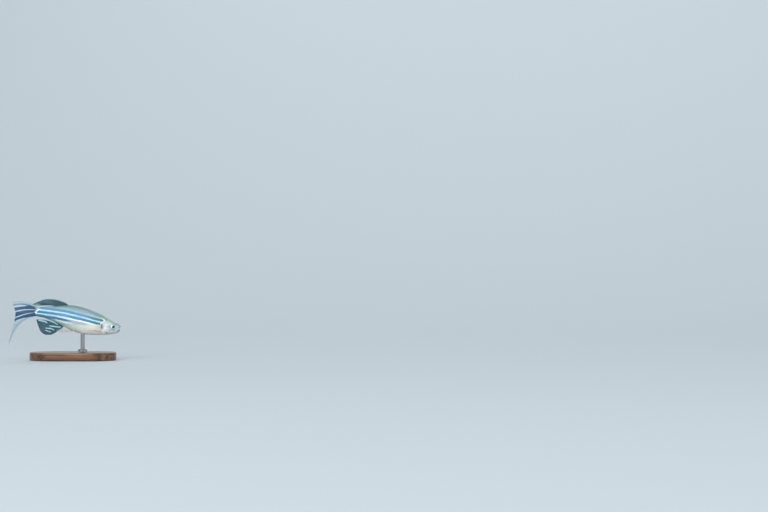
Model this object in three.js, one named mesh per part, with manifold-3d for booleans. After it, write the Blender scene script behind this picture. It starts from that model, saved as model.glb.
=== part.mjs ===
// A zebra danio, Danio rerio, at life size on a small display stand. Millimetres, +Z up.
// The fish faces +X, so its right side faces -Y. It is built level, with the tip of its snout
// at the origin of its own group, and the group then tips it head down.
import * as THREE from "three";
import { mergeVertices } from "three/addons/utils/BufferGeometryUtils.js";
import Module from "manifold-3d";

const wasm = await Module();
wasm.setup();

const { degToRad, lerp, smoothstep } = THREE.MathUtils;

// Driving dimensions of the fish.
const LENGTH = 31.9; // snout to the root of the tail fin
const HEAD_DOWN = degToRad(10.4); // how far the body's axis tips head down
const SWAY = 0.8; // how far the tail's root swings to the fish's left
const SWAY_START = 0.45; // where the swing begins, as a share of LENGTH
const GAP = 0.3; // clear space between neighbouring pieces
const LEFT = 1;
const RIGHT = -1;
const SIDES = [
  ["left", LEFT],
  ["right", RIGHT],
];

// Driving dimensions of the fins, measured across their faces.
const RAY = { root: 0.8, tip: 0.4 }; // over a ray's ridges
const MEMBRANE = { root: 0.5, edge: 0.3 }; // between two rays

// Driving dimensions of the stand.
const BASE = { length: 32, width: 18, height: 3, bevel: 0.5, forward: 3 };
const ROD = { radius: 0.75, place: 0.44, sunk: 1.2 };
const COLLAR = { radius: 1.7, height: 0.8 };
const LOWEST_FIN_TIP = 4.5; // above the floor

// The body's sections, each as shares of LENGTH: the place behind the snout, the back's height
// above the axis, the belly's depth below it, and half the width.
const SECTIONS = [
  [0, 0, 0, 0],
  [0.012, 0.013, 0.036, 0.021],
  [0.04, 0.03, 0.07, 0.038],
  [0.09, 0.047, 0.091, 0.055],
  [0.15, 0.069, 0.11, 0.065],
  [0.22, 0.095, 0.127, 0.071],
  [0.3, 0.119, 0.142, 0.074],
  [0.4, 0.142, 0.153, 0.075],
  [0.5, 0.153, 0.15, 0.071],
  [0.6, 0.154, 0.13, 0.061],
  [0.7, 0.134, 0.096, 0.048],
  [0.8, 0.107, 0.065, 0.035],
  [0.9, 0.083, 0.052, 0.024],
  [1, 0.052, 0.05, 0.014],
];
const BACK = 1;
const BELLY = 2;
const HALF_WIDTH = 3;

// A smooth curve through rows of numbers, the first of each row being its place. The slope
// at a row comes from its two neighbours.
function through(rows, column, place, warp = (x) => x) {
  const x = warp(place);
  const at = (i) => warp(rows[THREE.MathUtils.clamp(i, 0, rows.length - 1)][0]);
  const value = (i) => rows[THREE.MathUtils.clamp(i, 0, rows.length - 1)][column];
  const slope = (i) => (value(i + 1) - value(i - 1)) / (at(i + 1) - at(i - 1));
  let i = 0;
  while (i < rows.length - 2 && x > at(i + 1)) i += 1;
  const span = at(i + 1) - at(i);
  const t = (x - at(i)) / span;
  const bendIn = (t ** 3 - 2 * t ** 2 + t) * span * slope(i);
  const bendOut = (t ** 3 - t ** 2) * span * slope(i + 1);
  return lerp(value(i), value(i + 1), t * t * (3 - 2 * t)) + bendIn + bendOut;
}

// The sections grow with the square root of the place, which rounds the snout.
const section = (column, place) => LENGTH * through(SECTIONS, column, place, Math.sqrt);

// How square a section is: 2 is an ellipse. The head is flat on top and narrow in the jaws.
const squareness = (place, above) =>
  above ? lerp(2.5, 2.1, smoothstep(place, 0.1, 0.35)) : lerp(1.8, 2.1, smoothstep(place, 0.1, 0.35));

// The gill cover stands a little proud of the flank behind it. It swells and sinks again over
// these shares of LENGTH.
const COVER_SWELL = {
  out: 0.14,
  rise: [0.15, 0.22],
  fall: [0.235, 0.262],
  middle: -0.02,
  edges: [0.05, 0.09],
};
const coverBulge = (place, height) => {
  const along = smoothstep(place, ...COVER_SWELL.rise) * (1 - smoothstep(place, ...COVER_SWELL.fall));
  const off = Math.abs(height / LENGTH - COVER_SWELL.middle);
  return COVER_SWELL.out * along * (1 - smoothstep(off, ...COVER_SWELL.edges));
};

// Half the body's width at a place and a height above the axis, or 0 outside it.
function sideOf(place, height) {
  const back = section(BACK, place);
  const belly = section(BELLY, place);
  const middle = (back - belly) / 2;
  const reach = Math.min(1, Math.abs(height - middle) / ((back + belly) / 2));
  const power = squareness(place, height > middle);
  const half = section(HALF_WIDTH, place) * (1 - reach ** power) ** (1 / power);
  return half + (half > 0 ? coverBulge(place, height) : 0);
}

// The belly's height below the axis at a place, a little to one side of the keel.
function underside(place, side) {
  const back = section(BACK, place);
  const belly = section(BELLY, place);
  const power = squareness(place, false);
  const reach = Math.min(1, Math.abs(side) / section(HALF_WIDTH, place));
  return (back - belly) / 2 - ((back + belly) / 2) * (1 - reach ** power) ** (1 / power);
}

const point = (place, side, height) => new THREE.Vector3(-place * LENGTH, side, height);

// Closed meshes.

// A closed mesh from vertices and triangles, turned right way out.
function closedMesh(vertices, triangles) {
  const volume = triangles.reduce((sum, [a, b, c]) => {
    const normal = vertices[b].clone().cross(vertices[c]);
    return sum + vertices[a].dot(normal);
  }, 0);
  const faces = volume < 0 ? triangles.map(([a, b, c]) => [a, c, b]) : triangles;
  const geometry = new THREE.BufferGeometry().setFromPoints(vertices);
  return geometry.setIndex(faces.flat());
}

// A skin over rings of equal count, closed at each end by a fan.
function loft(rings, first, last) {
  const count = rings[0].length;
  const vertices = [...rings.flat(), first, last];
  const start = vertices.length - 2;
  const end = vertices.length - 1;
  const tail = (rings.length - 1) * count;
  const triangles = [];
  for (let j = 0; j < count; j += 1) {
    const next = (j + 1) % count;
    triangles.push([start, j, next], [end, tail + next, tail + j]);
    for (let i = 0; i < rings.length - 1; i += 1) {
      const here = i * count;
      const there = here + count;
      triangles.push([here + j, there + j, there + next], [here + j, there + next, here + next]);
    }
  }
  return closedMesh(vertices, triangles);
}

// A round strand along a curve, with a radius at each share of its length.
function strand(curve, radiusAt, steps, sides) {
  const frames = curve.computeFrenetFrames(steps);
  const rings = [];
  for (let i = 0; i <= steps; i += 1) {
    const centre = curve.getPointAt(i / steps);
    const ring = [];
    for (let j = 0; j < sides; j += 1) {
      const turn = (2 * Math.PI * j) / sides;
      const out = frames.normals[i].clone().multiplyScalar(Math.cos(turn));
      out.addScaledVector(frames.binormals[i], Math.sin(turn));
      ring.push(centre.clone().addScaledVector(out, radiusAt(i / steps)));
    }
    rings.push(ring);
  }
  return loft(rings, curve.getPointAt(0), curve.getPointAt(1));
}

// A flat outline in the fish's side view, drawn out across the body from one side to another.
function across(outline, from, to) {
  const geometry = new THREE.ExtrudeGeometry(new THREE.Shape(outline), {
    depth: to - from,
    bevelEnabled: false,
  });
  return geometry.rotateX(Math.PI / 2).translate(0, to, 0);
}

// A point of such an outline, from a place and a height as shares of LENGTH.
const inOutline = (place, height) => new THREE.Vector2(-place * LENGTH, height * LENGTH);

// Joining and cutting.

function solid(geometry) {
  const plain = new THREE.BufferGeometry().setAttribute("position", geometry.attributes.position);
  const merged = mergeVertices(plain.setIndex(geometry.index), 1e-4);
  return new wasm.Manifold(
    new wasm.Mesh({
      numProp: 3,
      vertProperties: merged.attributes.position.array,
      triVerts: new Uint32Array(merged.index.array),
    }),
  );
}

const largest = (made) => made.decompose().sort((a, b) => b.volume() - a.volume())[0];

function geometryOf(made) {
  const mesh = largest(made).getMesh();
  const geometry = new THREE.BufferGeometry();
  geometry.setAttribute("position", new THREE.BufferAttribute(mesh.vertProperties, 3));
  return geometry.setIndex(new THREE.BufferAttribute(mesh.triVerts, 1));
}

// The swing of the tail, which carries every piece behind SWAY_START with it.
function swing(geometry) {
  const position = geometry.attributes.position;
  for (let i = 0; i < position.count; i += 1) {
    const behind = Math.max(0, -position.getX(i) / LENGTH - SWAY_START) / (1 - SWAY_START);
    position.setY(i, position.getY(i) + SWAY * behind ** 2);
  }
  return geometry;
}

// Finishes.

const finish = (color, roughness, metalness = 0) =>
  new THREE.MeshStandardMaterial({ color, roughness, metalness, flatShading: true });
const SKIN = finish(0xa9bdb4, 0.35, 0.2);
const COVER = finish(0xe3eae6, 0.3, 0.4);
const EYE = finish(0xd6dcd2, 0.15);
const FIN = finish(0x5d7f88, 0.4);
const FEELER = finish(0xc9c4ac, 0.4);
const WOOD = finish(0x4a2f20, 0.5);
const STEEL = finish(0xb9bdc0, 0.3, 1);

const fish = new THREE.Group();
fish.rotation.y = HEAD_DOWN;
const stand = new THREE.Group();

function piece(name, geometry, material, group = fish) {
  const loose = geometry.index ? geometry.toNonIndexed() : geometry;
  loose.computeVertexNormals();
  const mesh = new THREE.Mesh(loose, material);
  mesh.name = name;
  group.add(mesh);
  return mesh;
}

// The body, as one form.

const RINGS = 58;
const AROUND = 40;

function bodySection(place) {
  const back = section(BACK, place);
  const belly = section(BELLY, place);
  const ring = [];
  for (let j = 0; j < AROUND; j += 1) {
    const turn = (2 * Math.PI * (j + 0.5)) / AROUND;
    const power = 2 / squareness(place, Math.sin(turn) > 0);
    const rise = Math.sign(Math.sin(turn)) * Math.abs(Math.sin(turn)) ** power;
    const out = Math.sign(Math.cos(turn)) * Math.abs(Math.cos(turn)) ** power;
    const height = (back - belly) / 2 + (rise * (back + belly)) / 2;
    const bulge = coverBulge(place, height) * Math.sign(out);
    ring.push(point(place, out * section(HALF_WIDTH, place) + bulge, height));
  }
  return ring;
}

function bodyForm() {
  const rings = [];
  for (let i = 1; i <= RINGS; i += 1) rings.push(bodySection((i / RINGS) ** 2));
  return solid(loft(rings, point(0, 0, 0), point(1, 0, 0)));
}

// The mouth: a short cleft that slants down and back from the tip of the snout, between two lips
// that thin out towards its corners.
const MOUTH = { slant: degToRad(48), depth: 1.35, cleft: 0.22, offset: 0.24 };
const LIP = { middle: 0.2, corner: 0.09, sunk: 0.07 };

// The lip's line, on the skin beside the cleft, from one corner of the mouth round to the other.
function lipCurve(offset) {
  const at = (along) => ({
    place: (along * Math.cos(MOUTH.slant) + offset * Math.sin(MOUTH.slant)) / LENGTH,
    height: offset * Math.cos(MOUTH.slant) - along * Math.sin(MOUTH.slant),
  });
  const outOf = ({ place, height }) => (place > 0 ? sideOf(place, height) : 0);
  let front = -MOUTH.depth;
  while (outOf(at(front)) === 0) front += 0.01;
  const side = (sign) => {
    const line = [];
    for (let i = 1; i <= 5; i += 1) {
      const spot = at(lerp(front, MOUTH.depth, (i / 5) ** 2));
      line.push(point(spot.place, sign * (outOf(spot) - LIP.sunk), spot.height));
    }
    return line;
  };
  const tip = at(front + LIP.sunk);
  const middle = point(tip.place, 0, tip.height);
  return new THREE.CatmullRomCurve3([...side(RIGHT).reverse(), middle, ...side(LEFT)]);
}

function lip(offset) {
  const radius = (share) => lerp(LIP.corner, LIP.middle, Math.sin(Math.PI * share));
  return solid(strand(lipCurve(offset), radius, 18, 8));
}

function mouthCleft() {
  const box = new THREE.BoxGeometry(2 * MOUTH.depth, 2 * LENGTH, MOUTH.cleft);
  return solid(box.rotateY(-MOUTH.slant));
}

// The nostrils: a pit on each side of the snout, between the lip and the eye.
const NOSTRIL = { place: 0.052, side: 0.7, below: 0.12, half: [0.29, 0.22, 0.35] };

function nostrilPit(sign) {
  const at = point(NOSTRIL.place, sign * NOSTRIL.side, section(BACK, NOSTRIL.place) - NOSTRIL.below);
  return solid(new THREE.SphereGeometry(1, 10, 6).scale(...NOSTRIL.half).translate(...at));
}

// The eyes: shallow lenses in round sockets, turned a little up and forward as the cheek is.
const EYE_AT = { place: 0.0915, height: -0.0097, side: 1.42 };
const EYE_SIZE = { radius: 1.12, bulge: 0.76 };
const EYE_TURN = { up: degToRad(11), forward: degToRad(7) };

function eyeball(sign, grown, around = 24) {
  const radius = EYE_SIZE.radius + grown;
  const ball = new THREE.SphereGeometry(radius, around, around / 2);
  ball.rotateX(Math.PI / 2).scale(1, (EYE_SIZE.bulge + grown) / radius, 1);
  ball.rotateX(sign * EYE_TURN.up).rotateZ(-sign * EYE_TURN.forward);
  return ball.translate(...point(EYE_AT.place, sign * EYE_AT.side, EYE_AT.height * LENGTH));
}

// The gill opening's edge, from the nape over the rear edge of the gill cover to the throat.
const GILL_EDGE = [
  [0.216, 0.13],
  [0.229, 0.078],
  [0.241, 0.045],
  [0.247, 0.012],
  [0.237, -0.022],
  [0.212, -0.055],
  [0.178, -0.087],
  [0.128, -0.135],
];

function gillSlit() {
  const curve = new THREE.SplineCurve(GILL_EDGE.map(([place, height]) => inOutline(place, height)));
  const steps = 24;
  const edge = (offset) => {
    const line = [];
    for (let i = 0; i <= steps; i += 1) {
      const along = curve.getTangent(i / steps);
      const normal = new THREE.Vector2(-along.y, along.x);
      line.push(curve.getPoint(i / steps).addScaledVector(normal, offset));
    }
    return line;
  };
  return solid(across([...edge(GAP / 2), ...edge(-GAP / 2).reverse()], -LENGTH / 4, LENGTH / 4));
}

// The gill cover: a plate in a pocket of the head that opens at the gill opening.
const COVER_FRONT = [
  [0.212, 0.052],
  [0.176, 0.036],
  [0.158, -0.002],
  [0.153, -0.045],
  [0.156, -0.083],
];
const COVER_FLOOR = 0.85; // from the fish's middle plane to the pocket's floor

function coverPrism(sign, grown) {
  const front = new THREE.SplineCurve(COVER_FRONT.map(([place, height]) => inOutline(place, height)));
  const steps = 12;
  const outline = [];
  for (let i = 0; i <= steps; i += 1) {
    const along = front.getTangent(i / steps);
    const normal = new THREE.Vector2(-along.y, along.x);
    outline.push(front.getPoint(i / steps).addScaledVector(normal, grown));
  }
  const behind = -0.3 * LENGTH;
  outline.push(new THREE.Vector2(behind, outline[steps].y), new THREE.Vector2(behind, outline[0].y));
  const floor = COVER_FLOOR + GAP - grown;
  return solid(sign > 0 ? across(outline, floor, LENGTH / 4) : across(outline, -LENGTH / 4, -floor));
}

// The cut that parts the tail stalk from the trunk, just behind the anal fin.
const STALK_FROM = 0.885;

function stalkCut() {
  const slab = new THREE.BoxGeometry(GAP, LENGTH, LENGTH);
  return solid(slab.translate(-STALK_FROM * LENGTH, 0, 0));
}

// The stand's rod goes up into the belly, and is upright while the fish is tipped. Its socket
// starts well below the skin, so that it opens through the belly.
const rodTop = point(ROD.place, 0, underside(ROD.place, 0) + ROD.sunk).applyEuler(fish.rotation);

function rodSocket() {
  const depth = ROD.sunk * 3;
  const hole = new THREE.CylinderGeometry(ROD.radius + GAP, ROD.radius + GAP, depth, 20);
  hole.rotateX(Math.PI / 2).translate(rodTop.x, rodTop.y, rodTop.z + GAP - depth / 2);
  return solid(hole.rotateY(-HEAD_DOWN));
}

function makeBody() {
  const whole = bodyForm().add(lip(MOUTH.offset)).add(lip(-MOUTH.offset));
  const parted = whole.subtract(gillSlit()).subtract(stalkCut()).decompose();
  const byPlace = (a, b) => b.boundingBox().max[0] - a.boundingBox().max[0];
  const [front, trunk, stalk] = parted.filter((part) => part.volume() > 1).sort(byPlace);
  let head = front.subtract(mouthCleft());
  for (const [side, sign] of SIDES) {
    piece(`gill_cover_${side}`, geometryOf(head.intersect(coverPrism(sign, 0))), COVER);
    head = head.subtract(coverPrism(sign, GAP)).subtract(nostrilPit(sign));
    head = head.subtract(solid(eyeball(sign, GAP)));
    piece(`eye_${side}`, eyeball(sign, 0), EYE);
  }
  piece("head", geometryOf(head), SKIN);
  piece("trunk", swing(geometryOf(trunk.subtract(rodSocket()))), SKIN);
  piece("tail_stalk", swing(geometryOf(stalk)), SKIN);
}

// Barbels: a short one on each side of the upper lip, and a longer one at each corner of the
// mouth. Each is told by where it leaves the skin and by its steps [back, out, up].
const BARBEL = { root: 0.21, tip: 0.09 };
const BARBELS = {
  barbel_upper: {
    place: 0.014,
    height: 0.22,
    steps: [
      [0.05, 0.35, 0],
      [0.35, 0.26, -0.15],
      [0.5, 0.02, -0.35],
    ],
  },
  barbel_corner: {
    place: 0.026,
    height: -0.98,
    steps: [
      [0.25, 0.35, -0.25],
      [0.75, 0.25, -0.5],
      [0.9, 0, -0.4],
      [0.8, -0.1, -0.15],
    ],
  },
};

function makeBarbels() {
  for (const [name, { place, height, steps }] of Object.entries(BARBELS)) {
    for (const [side, sign] of SIDES) {
      const points = [point(place, sign * (sideOf(place, height) + LIP.middle / 2 + GAP), height)];
      for (const [back, out, up] of steps) {
        points.push(points.at(-1).clone().add(new THREE.Vector3(-back, sign * out, up)));
      }
      const taper = (share) => lerp(BARBEL.root, BARBEL.tip, share);
      const geometry = strand(new THREE.CatmullRomCurve3(points), taper, 9, 8);
      piece(`${name}_${side}`, geometry, FEELER);
    }
  }
}

// Fins.

// How far a share u of a ray reaches, back and up in the plane of its fin. The fin's rows hold
// [share across the fin, angle at the root, angle at the tip, length], with each angle in degrees
// above the line straight back. The ray bends evenly at ease 1, and sooner at more.
function rayReach({ rows, ease = 1 }, v, u) {
  const from = degToRad(through(rows, 1, v));
  const to = degToRad(through(rows, 2, v));
  const parts = 16;
  const step = (through(rows, 3, v) * u) / parts;
  let back = 0;
  let up = 0;
  for (let i = 0; i < parts; i += 1) {
    const share = ((i + 0.5) / parts) * u;
    const angle = lerp(to, from, (1 - share) ** ease);
    back += step * Math.cos(angle);
    up += step * Math.sin(angle);
  }
  return { back, up };
}

// The columns of a fin's sheet: its rays, the membrane between two, whose edge is drawn in a
// little, and a hem before the first ray and after the last, set off by a share of their spacing.
const ON_RAY = { ridge: 1, reach: 1 };
const BETWEEN = { ridge: 0, reach: 0.965 };
const HEM = { ridge: 0.35, reach: 0.99, off: 0.22 };

// How thick a fin is on a ray's ridge (1), between two (0), or in its hem, at a share u of a ray.
function thickness(ridge, u) {
  const onRay = lerp(RAY.root, MEMBRANE.root, smoothstep(u, 0, 0.8));
  const inward = lerp(MEMBRANE.root, onRay, ridge);
  return lerp(inward, lerp(MEMBRANE.edge, RAY.tip, ridge), smoothstep(u, 0.6, 1));
}

// A fin as one sheet. Each ray is a ridge on both faces and the membrane lies lower between two.
// place(v, u) is the middle of the sheet, v across the rays and u out along them, and facing is
// the direction across its faces.
function finSheet({ rays, steps }, place, facing) {
  const spacing = 1 / (rays - 1);
  const columns = [{ v: -HEM.off * spacing, ...HEM }];
  for (let i = 0; i < rays; i += 1) {
    columns.push({ v: i * spacing, ...ON_RAY });
    if (i < rays - 1) columns.push({ v: (i + 0.5) * spacing, ...BETWEEN });
  }
  columns.push({ v: 1 + HEM.off * spacing, ...HEM });

  const vertices = [];
  for (const face of [1, -1]) {
    for (const { v, ridge, reach } of columns) {
      for (let k = 0; k <= steps; k += 1) {
        const u = (reach * k) / steps;
        vertices.push(place(v, u).addScaledVector(facing, (face * thickness(ridge, u)) / 2));
      }
    }
  }

  const rows = steps + 1;
  const other = columns.length * rows;
  const at = (j, k) => j * rows + k;
  const triangles = [];
  const strip = (a, b) => triangles.push([a, b, b + other], [a, b + other, a + other]);
  for (let j = 0; j < columns.length - 1; j += 1) {
    strip(at(j, 0), at(j + 1, 0));
    strip(at(j + 1, steps), at(j, steps));
    for (let k = 0; k < steps; k += 1) {
      const [a, b, c, d] = [at(j, k), at(j, k + 1), at(j + 1, k + 1), at(j + 1, k)];
      triangles.push([a, b, c], [a, c, d]);
      triangles.push([a + other, c + other, b + other], [a + other, d + other, c + other]);
    }
  }
  for (let k = 0; k < steps; k += 1) {
    strip(at(0, k + 1), at(0, k));
    strip(at(columns.length - 1, k), at(columns.length - 1, k + 1));
  }
  return closedMesh(vertices, triangles);
}

const SIDEWAYS = new THREE.Vector3(0, 1, 0);

// A fin on the middle line, on a root line between two places along the back or the belly.
function middleFin(name, fin, rootHeight) {
  const place = (v, u) => {
    const root = lerp(fin.from, fin.to, v);
    const { back, up } = rayReach(fin, v, u);
    return point(root + back / LENGTH, 0, rootHeight(root, v) + up);
  };
  piece(name, swing(finSheet(fin, place, SIDEWAYS)), FIN);
}

// The dorsal fin, folded back over the tail.
const DORSAL = {
  rays: 9,
  steps: 8,
  from: 0.65,
  to: 0.79,
  rows: [
    [0, 20, -17, 9.4],
    [0.3, 8, -19, 10.8],
    [0.55, 0, -18, 11.1],
    [0.8, -7, -14, 9.6],
    [1, -10, -14, 6.9],
  ],
};

// The anal fin, swept back below the tail.
const ANAL = {
  rays: 13,
  steps: 7,
  from: 0.665,
  to: 0.862,
  rows: [
    [0, -50, -32, 5.6],
    [0.25, -52, -34, 6.6],
    [0.5, -48, -30, 6.6],
    [0.75, -38, -20, 5.5],
    [1, -14, -4, 4.4],
  ],
};

// The tail fin: a spread upper lobe, and a long lower one that droops in an arc. Its root runs
// down the end of the tail stalk.
const CAUDAL = {
  rays: 19,
  steps: 10,
  from: 1 + GAP / LENGTH,
  to: 1 + GAP / LENGTH,
  top: 0.048 * LENGTH,
  bottom: -0.047 * LENGTH,
  ease: 1.5,
  rows: [
    [0, 33, -18, 10.1],
    [0.25, 3, -25, 8.4],
    [0.5, -12, -35, 8.6],
    [0.64, -14, -48, 9.6],
    [0.78, -15, -69, 12.2],
    [0.86, -16, -79, 14.8],
    [0.93, -17, -86, 16.3],
    [1, -18, -89, 16.6],
  ],
};

function makeMiddleFins() {
  middleFin("dorsal_fin", DORSAL, (place) => section(BACK, place) + GAP);
  middleFin("anal_fin", ANAL, (place) => -section(BELLY, place) - GAP);
  middleFin("caudal_fin", CAUDAL, (place, v) => lerp(CAUDAL.top, CAUDAL.bottom, v));
}

// The pelvic fins hang back under the belly, each leaning in towards the middle line.
const PELVIC = {
  rays: 8,
  steps: 6,
  front: { place: 0.505, side: 1.35 },
  rear: { place: 0.54, side: 0.95 },
  lean: degToRad(62), // of the fin's plane, from level
  rows: [
    [0, -20, -14, 7.3],
    [0.5, -8, -4, 6.6],
    [1, 4, 6, 4.6],
  ],
};

// The pectoral fins stand out level from behind the gill covers and sweep back.
const PECTORAL = {
  rays: 10,
  steps: 6,
  front: 0.252,
  rear: 0.285,
  height: -0.083,
  droop: degToRad(-12),
  rows: [
    [0, 52, 38, 6.2],
    [0.5, 38, 24, 5.6],
    [1, 20, 12, 3.2],
  ],
};

// A paired fin: it spreads between straight back and one direction out of the body.
function pairedFin(name, fin, rootAt, outward) {
  const place = (v, u) => {
    const { back, up } = rayReach(fin, v, u);
    return rootAt(v).add(new THREE.Vector3(-back, 0, 0)).addScaledVector(outward, up);
  };
  const facing = new THREE.Vector3(1, 0, 0).cross(outward);
  piece(name, swing(finSheet(fin, place, facing)), FIN);
}

function makePairedFins() {
  for (const [side, sign] of SIDES) {
    const pelvicRoot = (v) => {
      const place = lerp(PELVIC.front.place, PELVIC.rear.place, v);
      const out = lerp(PELVIC.front.side, PELVIC.rear.side, v);
      return point(place, sign * out, underside(place, out) - GAP - RAY.root / 4);
    };
    const inward = new THREE.Vector3(0, -sign * Math.cos(PELVIC.lean), Math.sin(PELVIC.lean));
    pairedFin(`pelvic_fin_${side}`, PELVIC, pelvicRoot, inward);

    const pectoralRoot = (v) => {
      const place = lerp(PECTORAL.front, PECTORAL.rear, v);
      const height = PECTORAL.height * LENGTH;
      return point(place, sign * (sideOf(place, height) + GAP), height);
    };
    const out = new THREE.Vector3(0, sign * Math.cos(PECTORAL.droop), Math.sin(PECTORAL.droop));
    pairedFin(`pectoral_fin_${side}`, PECTORAL, pectoralRoot, out);
  }
}

makeBody();
makeBarbels();
makeMiddleFins();
makePairedFins();

// The fish is lifted until its lowest fin tip clears the floor, and centred over its own length.
fish.updateMatrixWorld(true);
const extent = new THREE.Box3().setFromObject(fish, true);
fish.position.set(-(extent.min.x + extent.max.x) / 2, 0, LOWEST_FIN_TIP - extent.min.z);

// The stand: a low plinth with round ends, an upright rod, and a collar at its foot.

function plinth() {
  const end = BASE.width / 2 - BASE.bevel;
  const run = BASE.length / 2 - BASE.bevel - end;
  const outline = new THREE.Shape();
  outline.absarc(run, 0, end, -Math.PI / 2, Math.PI / 2);
  outline.absarc(-run, 0, end, Math.PI / 2, (3 * Math.PI) / 2);
  const geometry = new THREE.ExtrudeGeometry(outline, {
    depth: BASE.height - 2 * BASE.bevel,
    bevelSize: BASE.bevel,
    bevelThickness: BASE.bevel,
    bevelSegments: 2,
    curveSegments: 14,
  });
  return geometry.translate(BASE.forward, 0, BASE.bevel);
}

function turned(profile, sides) {
  const points = profile.map(([radius, height]) => new THREE.Vector2(radius, height));
  return new THREE.LatheGeometry(points, sides).rotateX(Math.PI / 2);
}

function makeStand() {
  const x = fish.position.x + rodTop.x;
  const top = fish.position.z + rodTop.z;
  const foot = BASE.height / 2;
  const hole = turned(
    [
      [0, foot - GAP],
      [ROD.radius + GAP, foot - GAP],
      [ROD.radius + GAP, BASE.height + 1],
      [0, BASE.height + 1],
    ],
    24,
  );
  const base = solid(plinth()).subtract(solid(hole.translate(x, 0, 0)));
  piece("stand_base", geometryOf(base), WOOD, stand);
  const rod = turned(
    [
      [0, foot],
      [ROD.radius, foot],
      [ROD.radius, top - ROD.radius / 3],
      [(ROD.radius * 2) / 3, top],
      [0, top],
    ],
    24,
  );
  piece("stand_rod", rod.translate(x, 0, 0), STEEL, stand);
  const inner = ROD.radius + GAP;
  const level = BASE.height + GAP;
  const collar = turned(
    [
      [inner, level],
      [COLLAR.radius, level],
      [COLLAR.radius, level + COLLAR.height * 0.6],
      [COLLAR.radius * 0.85, level + COLLAR.height],
      [inner, level + COLLAR.height],
      [inner, level],
    ],
    28,
  );
  piece("stand_collar", collar.translate(x, 0, 0), STEEL, stand);
}

makeStand();

const zebraDanio = new THREE.Group();
zebraDanio.add(fish, stand);

export default zebraDanio;
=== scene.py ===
# %% [markdown]
# # A zebra danio at life size, on a display stand
#
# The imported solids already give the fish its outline, in pieces that can be weighed and dropped.
# This lesson dresses them: one skin with a mouth, nostrils and gill covers, a coat of scales,
# glossy eyes, fins with branched rays, and a stand of walnut and steel. Lengths are in metres,
# +Z is up and the fish faces +X.

import random
from functools import lru_cache, partial
from math import copysign, cos, exp, hypot, pi, radians, sin, sqrt

import bmesh
import bpy
from mathutils import Matrix, Vector


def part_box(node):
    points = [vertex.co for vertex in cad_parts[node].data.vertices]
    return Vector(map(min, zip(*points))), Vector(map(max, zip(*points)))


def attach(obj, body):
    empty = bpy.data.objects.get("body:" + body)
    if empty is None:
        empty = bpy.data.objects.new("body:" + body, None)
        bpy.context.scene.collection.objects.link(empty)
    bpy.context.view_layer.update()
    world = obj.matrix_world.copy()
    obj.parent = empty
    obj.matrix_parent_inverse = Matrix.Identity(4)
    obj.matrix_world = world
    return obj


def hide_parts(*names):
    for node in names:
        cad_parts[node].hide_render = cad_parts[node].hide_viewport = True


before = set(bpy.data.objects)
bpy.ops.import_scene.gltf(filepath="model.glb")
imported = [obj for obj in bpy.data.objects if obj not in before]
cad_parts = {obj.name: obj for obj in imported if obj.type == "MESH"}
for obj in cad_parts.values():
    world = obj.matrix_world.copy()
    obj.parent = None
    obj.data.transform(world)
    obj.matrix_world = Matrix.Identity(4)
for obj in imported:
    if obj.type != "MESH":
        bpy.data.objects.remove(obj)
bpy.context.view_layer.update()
print("solids:", len(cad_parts), "nodes")

# %% [markdown]
# ## Where the fish lies
#
# A fish is easiest to describe along its own axis, from the tip of the snout to the root of the
# tail fin, which is called its standard length. Here a place is a share of that length behind
# the snout, and a height is a share of it above the axis. The fish hangs nose down, so one
# matrix seats these shares in the world. It could be typed in, but the solids' two eyes already
# tell where the head is, so it is worked out from them.

# %% Seat the fish's own axes in the world
MM = 0.001
LENGTH = 31.9 * MM
HEAD_DOWN = radians(10.4)
EYE_PLACE, EYE_HEIGHT = 0.0915, -0.0097
SIDES = {"left": 1, "right": -1}


def middle(node):
    low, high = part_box(node)
    return (low + high) / 2


tipped = Matrix.Rotation(HEAD_DOWN, 4, "Y")
between_eyes = (middle("eye_left") + middle("eye_right")) / 2
snout = between_eyes - tipped @ Vector((-EYE_PLACE * LENGTH, 0, EYE_HEIGHT * LENGTH))
SEAT = Matrix.Translation(snout) @ tipped
print("snout at", [round(x / MM, 2) for x in snout], "mm")

# %% [markdown]
# ## The camera
#
# The photo is taken level and from the fish's right, with the fish small and low at the left of
# the frame. One millimetre of fish covers 2.7 pixels. A long lens far away keeps the outline as
# true as a drawing, so the camera stands where that lens gives that scale, and looks past the
# fish just as the photo does.

# %% Place the camera
FRAME_SIZE = (768, 512)
PIXELS_PER_METRE = 2.7 / MM
SNOUT_PIXEL = (121.7, 327.6)
LENS, SENSOR = 100, 36


def placed(name, data):
    made = bpy.data.objects.new(name, data)
    bpy.context.collection.objects.link(made)
    return made


camera = placed("camera", bpy.data.cameras.new("camera"))
camera.data.lens = LENS
camera.data.sensor_width = SENSOR
camera.data.clip_start = 0.01
camera.data.clip_end = 20
camera.location = (
    snout.x + (FRAME_SIZE[0] / 2 - SNOUT_PIXEL[0]) / PIXELS_PER_METRE,
    -FRAME_SIZE[0] / PIXELS_PER_METRE * LENS / SENSOR,
    snout.z + (SNOUT_PIXEL[1] - FRAME_SIZE[1] / 2) / PIXELS_PER_METRE,
)
camera.rotation_euler = (radians(90), 0, 0)
bpy.context.scene.camera = camera
print("camera at", [round(x, 4) for x in camera.location], "m")

# %% [markdown]
# ## Small helpers for shapes
#
# Every soft edge on a fish is a ramp from one value to another, or a bump that dies away on
# both sides. These few functions are enough to sculpt with.

# %% Ramps and bumps


def lerp(a, b, share):
    return a + (b - a) * share


def ramp(x, low, high):
    t = min(1.0, max(0.0, (x - low) / (high - low)))
    return t * t * (3 - 2 * t)


def bump(x, width):
    return exp(-((x / width) ** 2))


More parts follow.
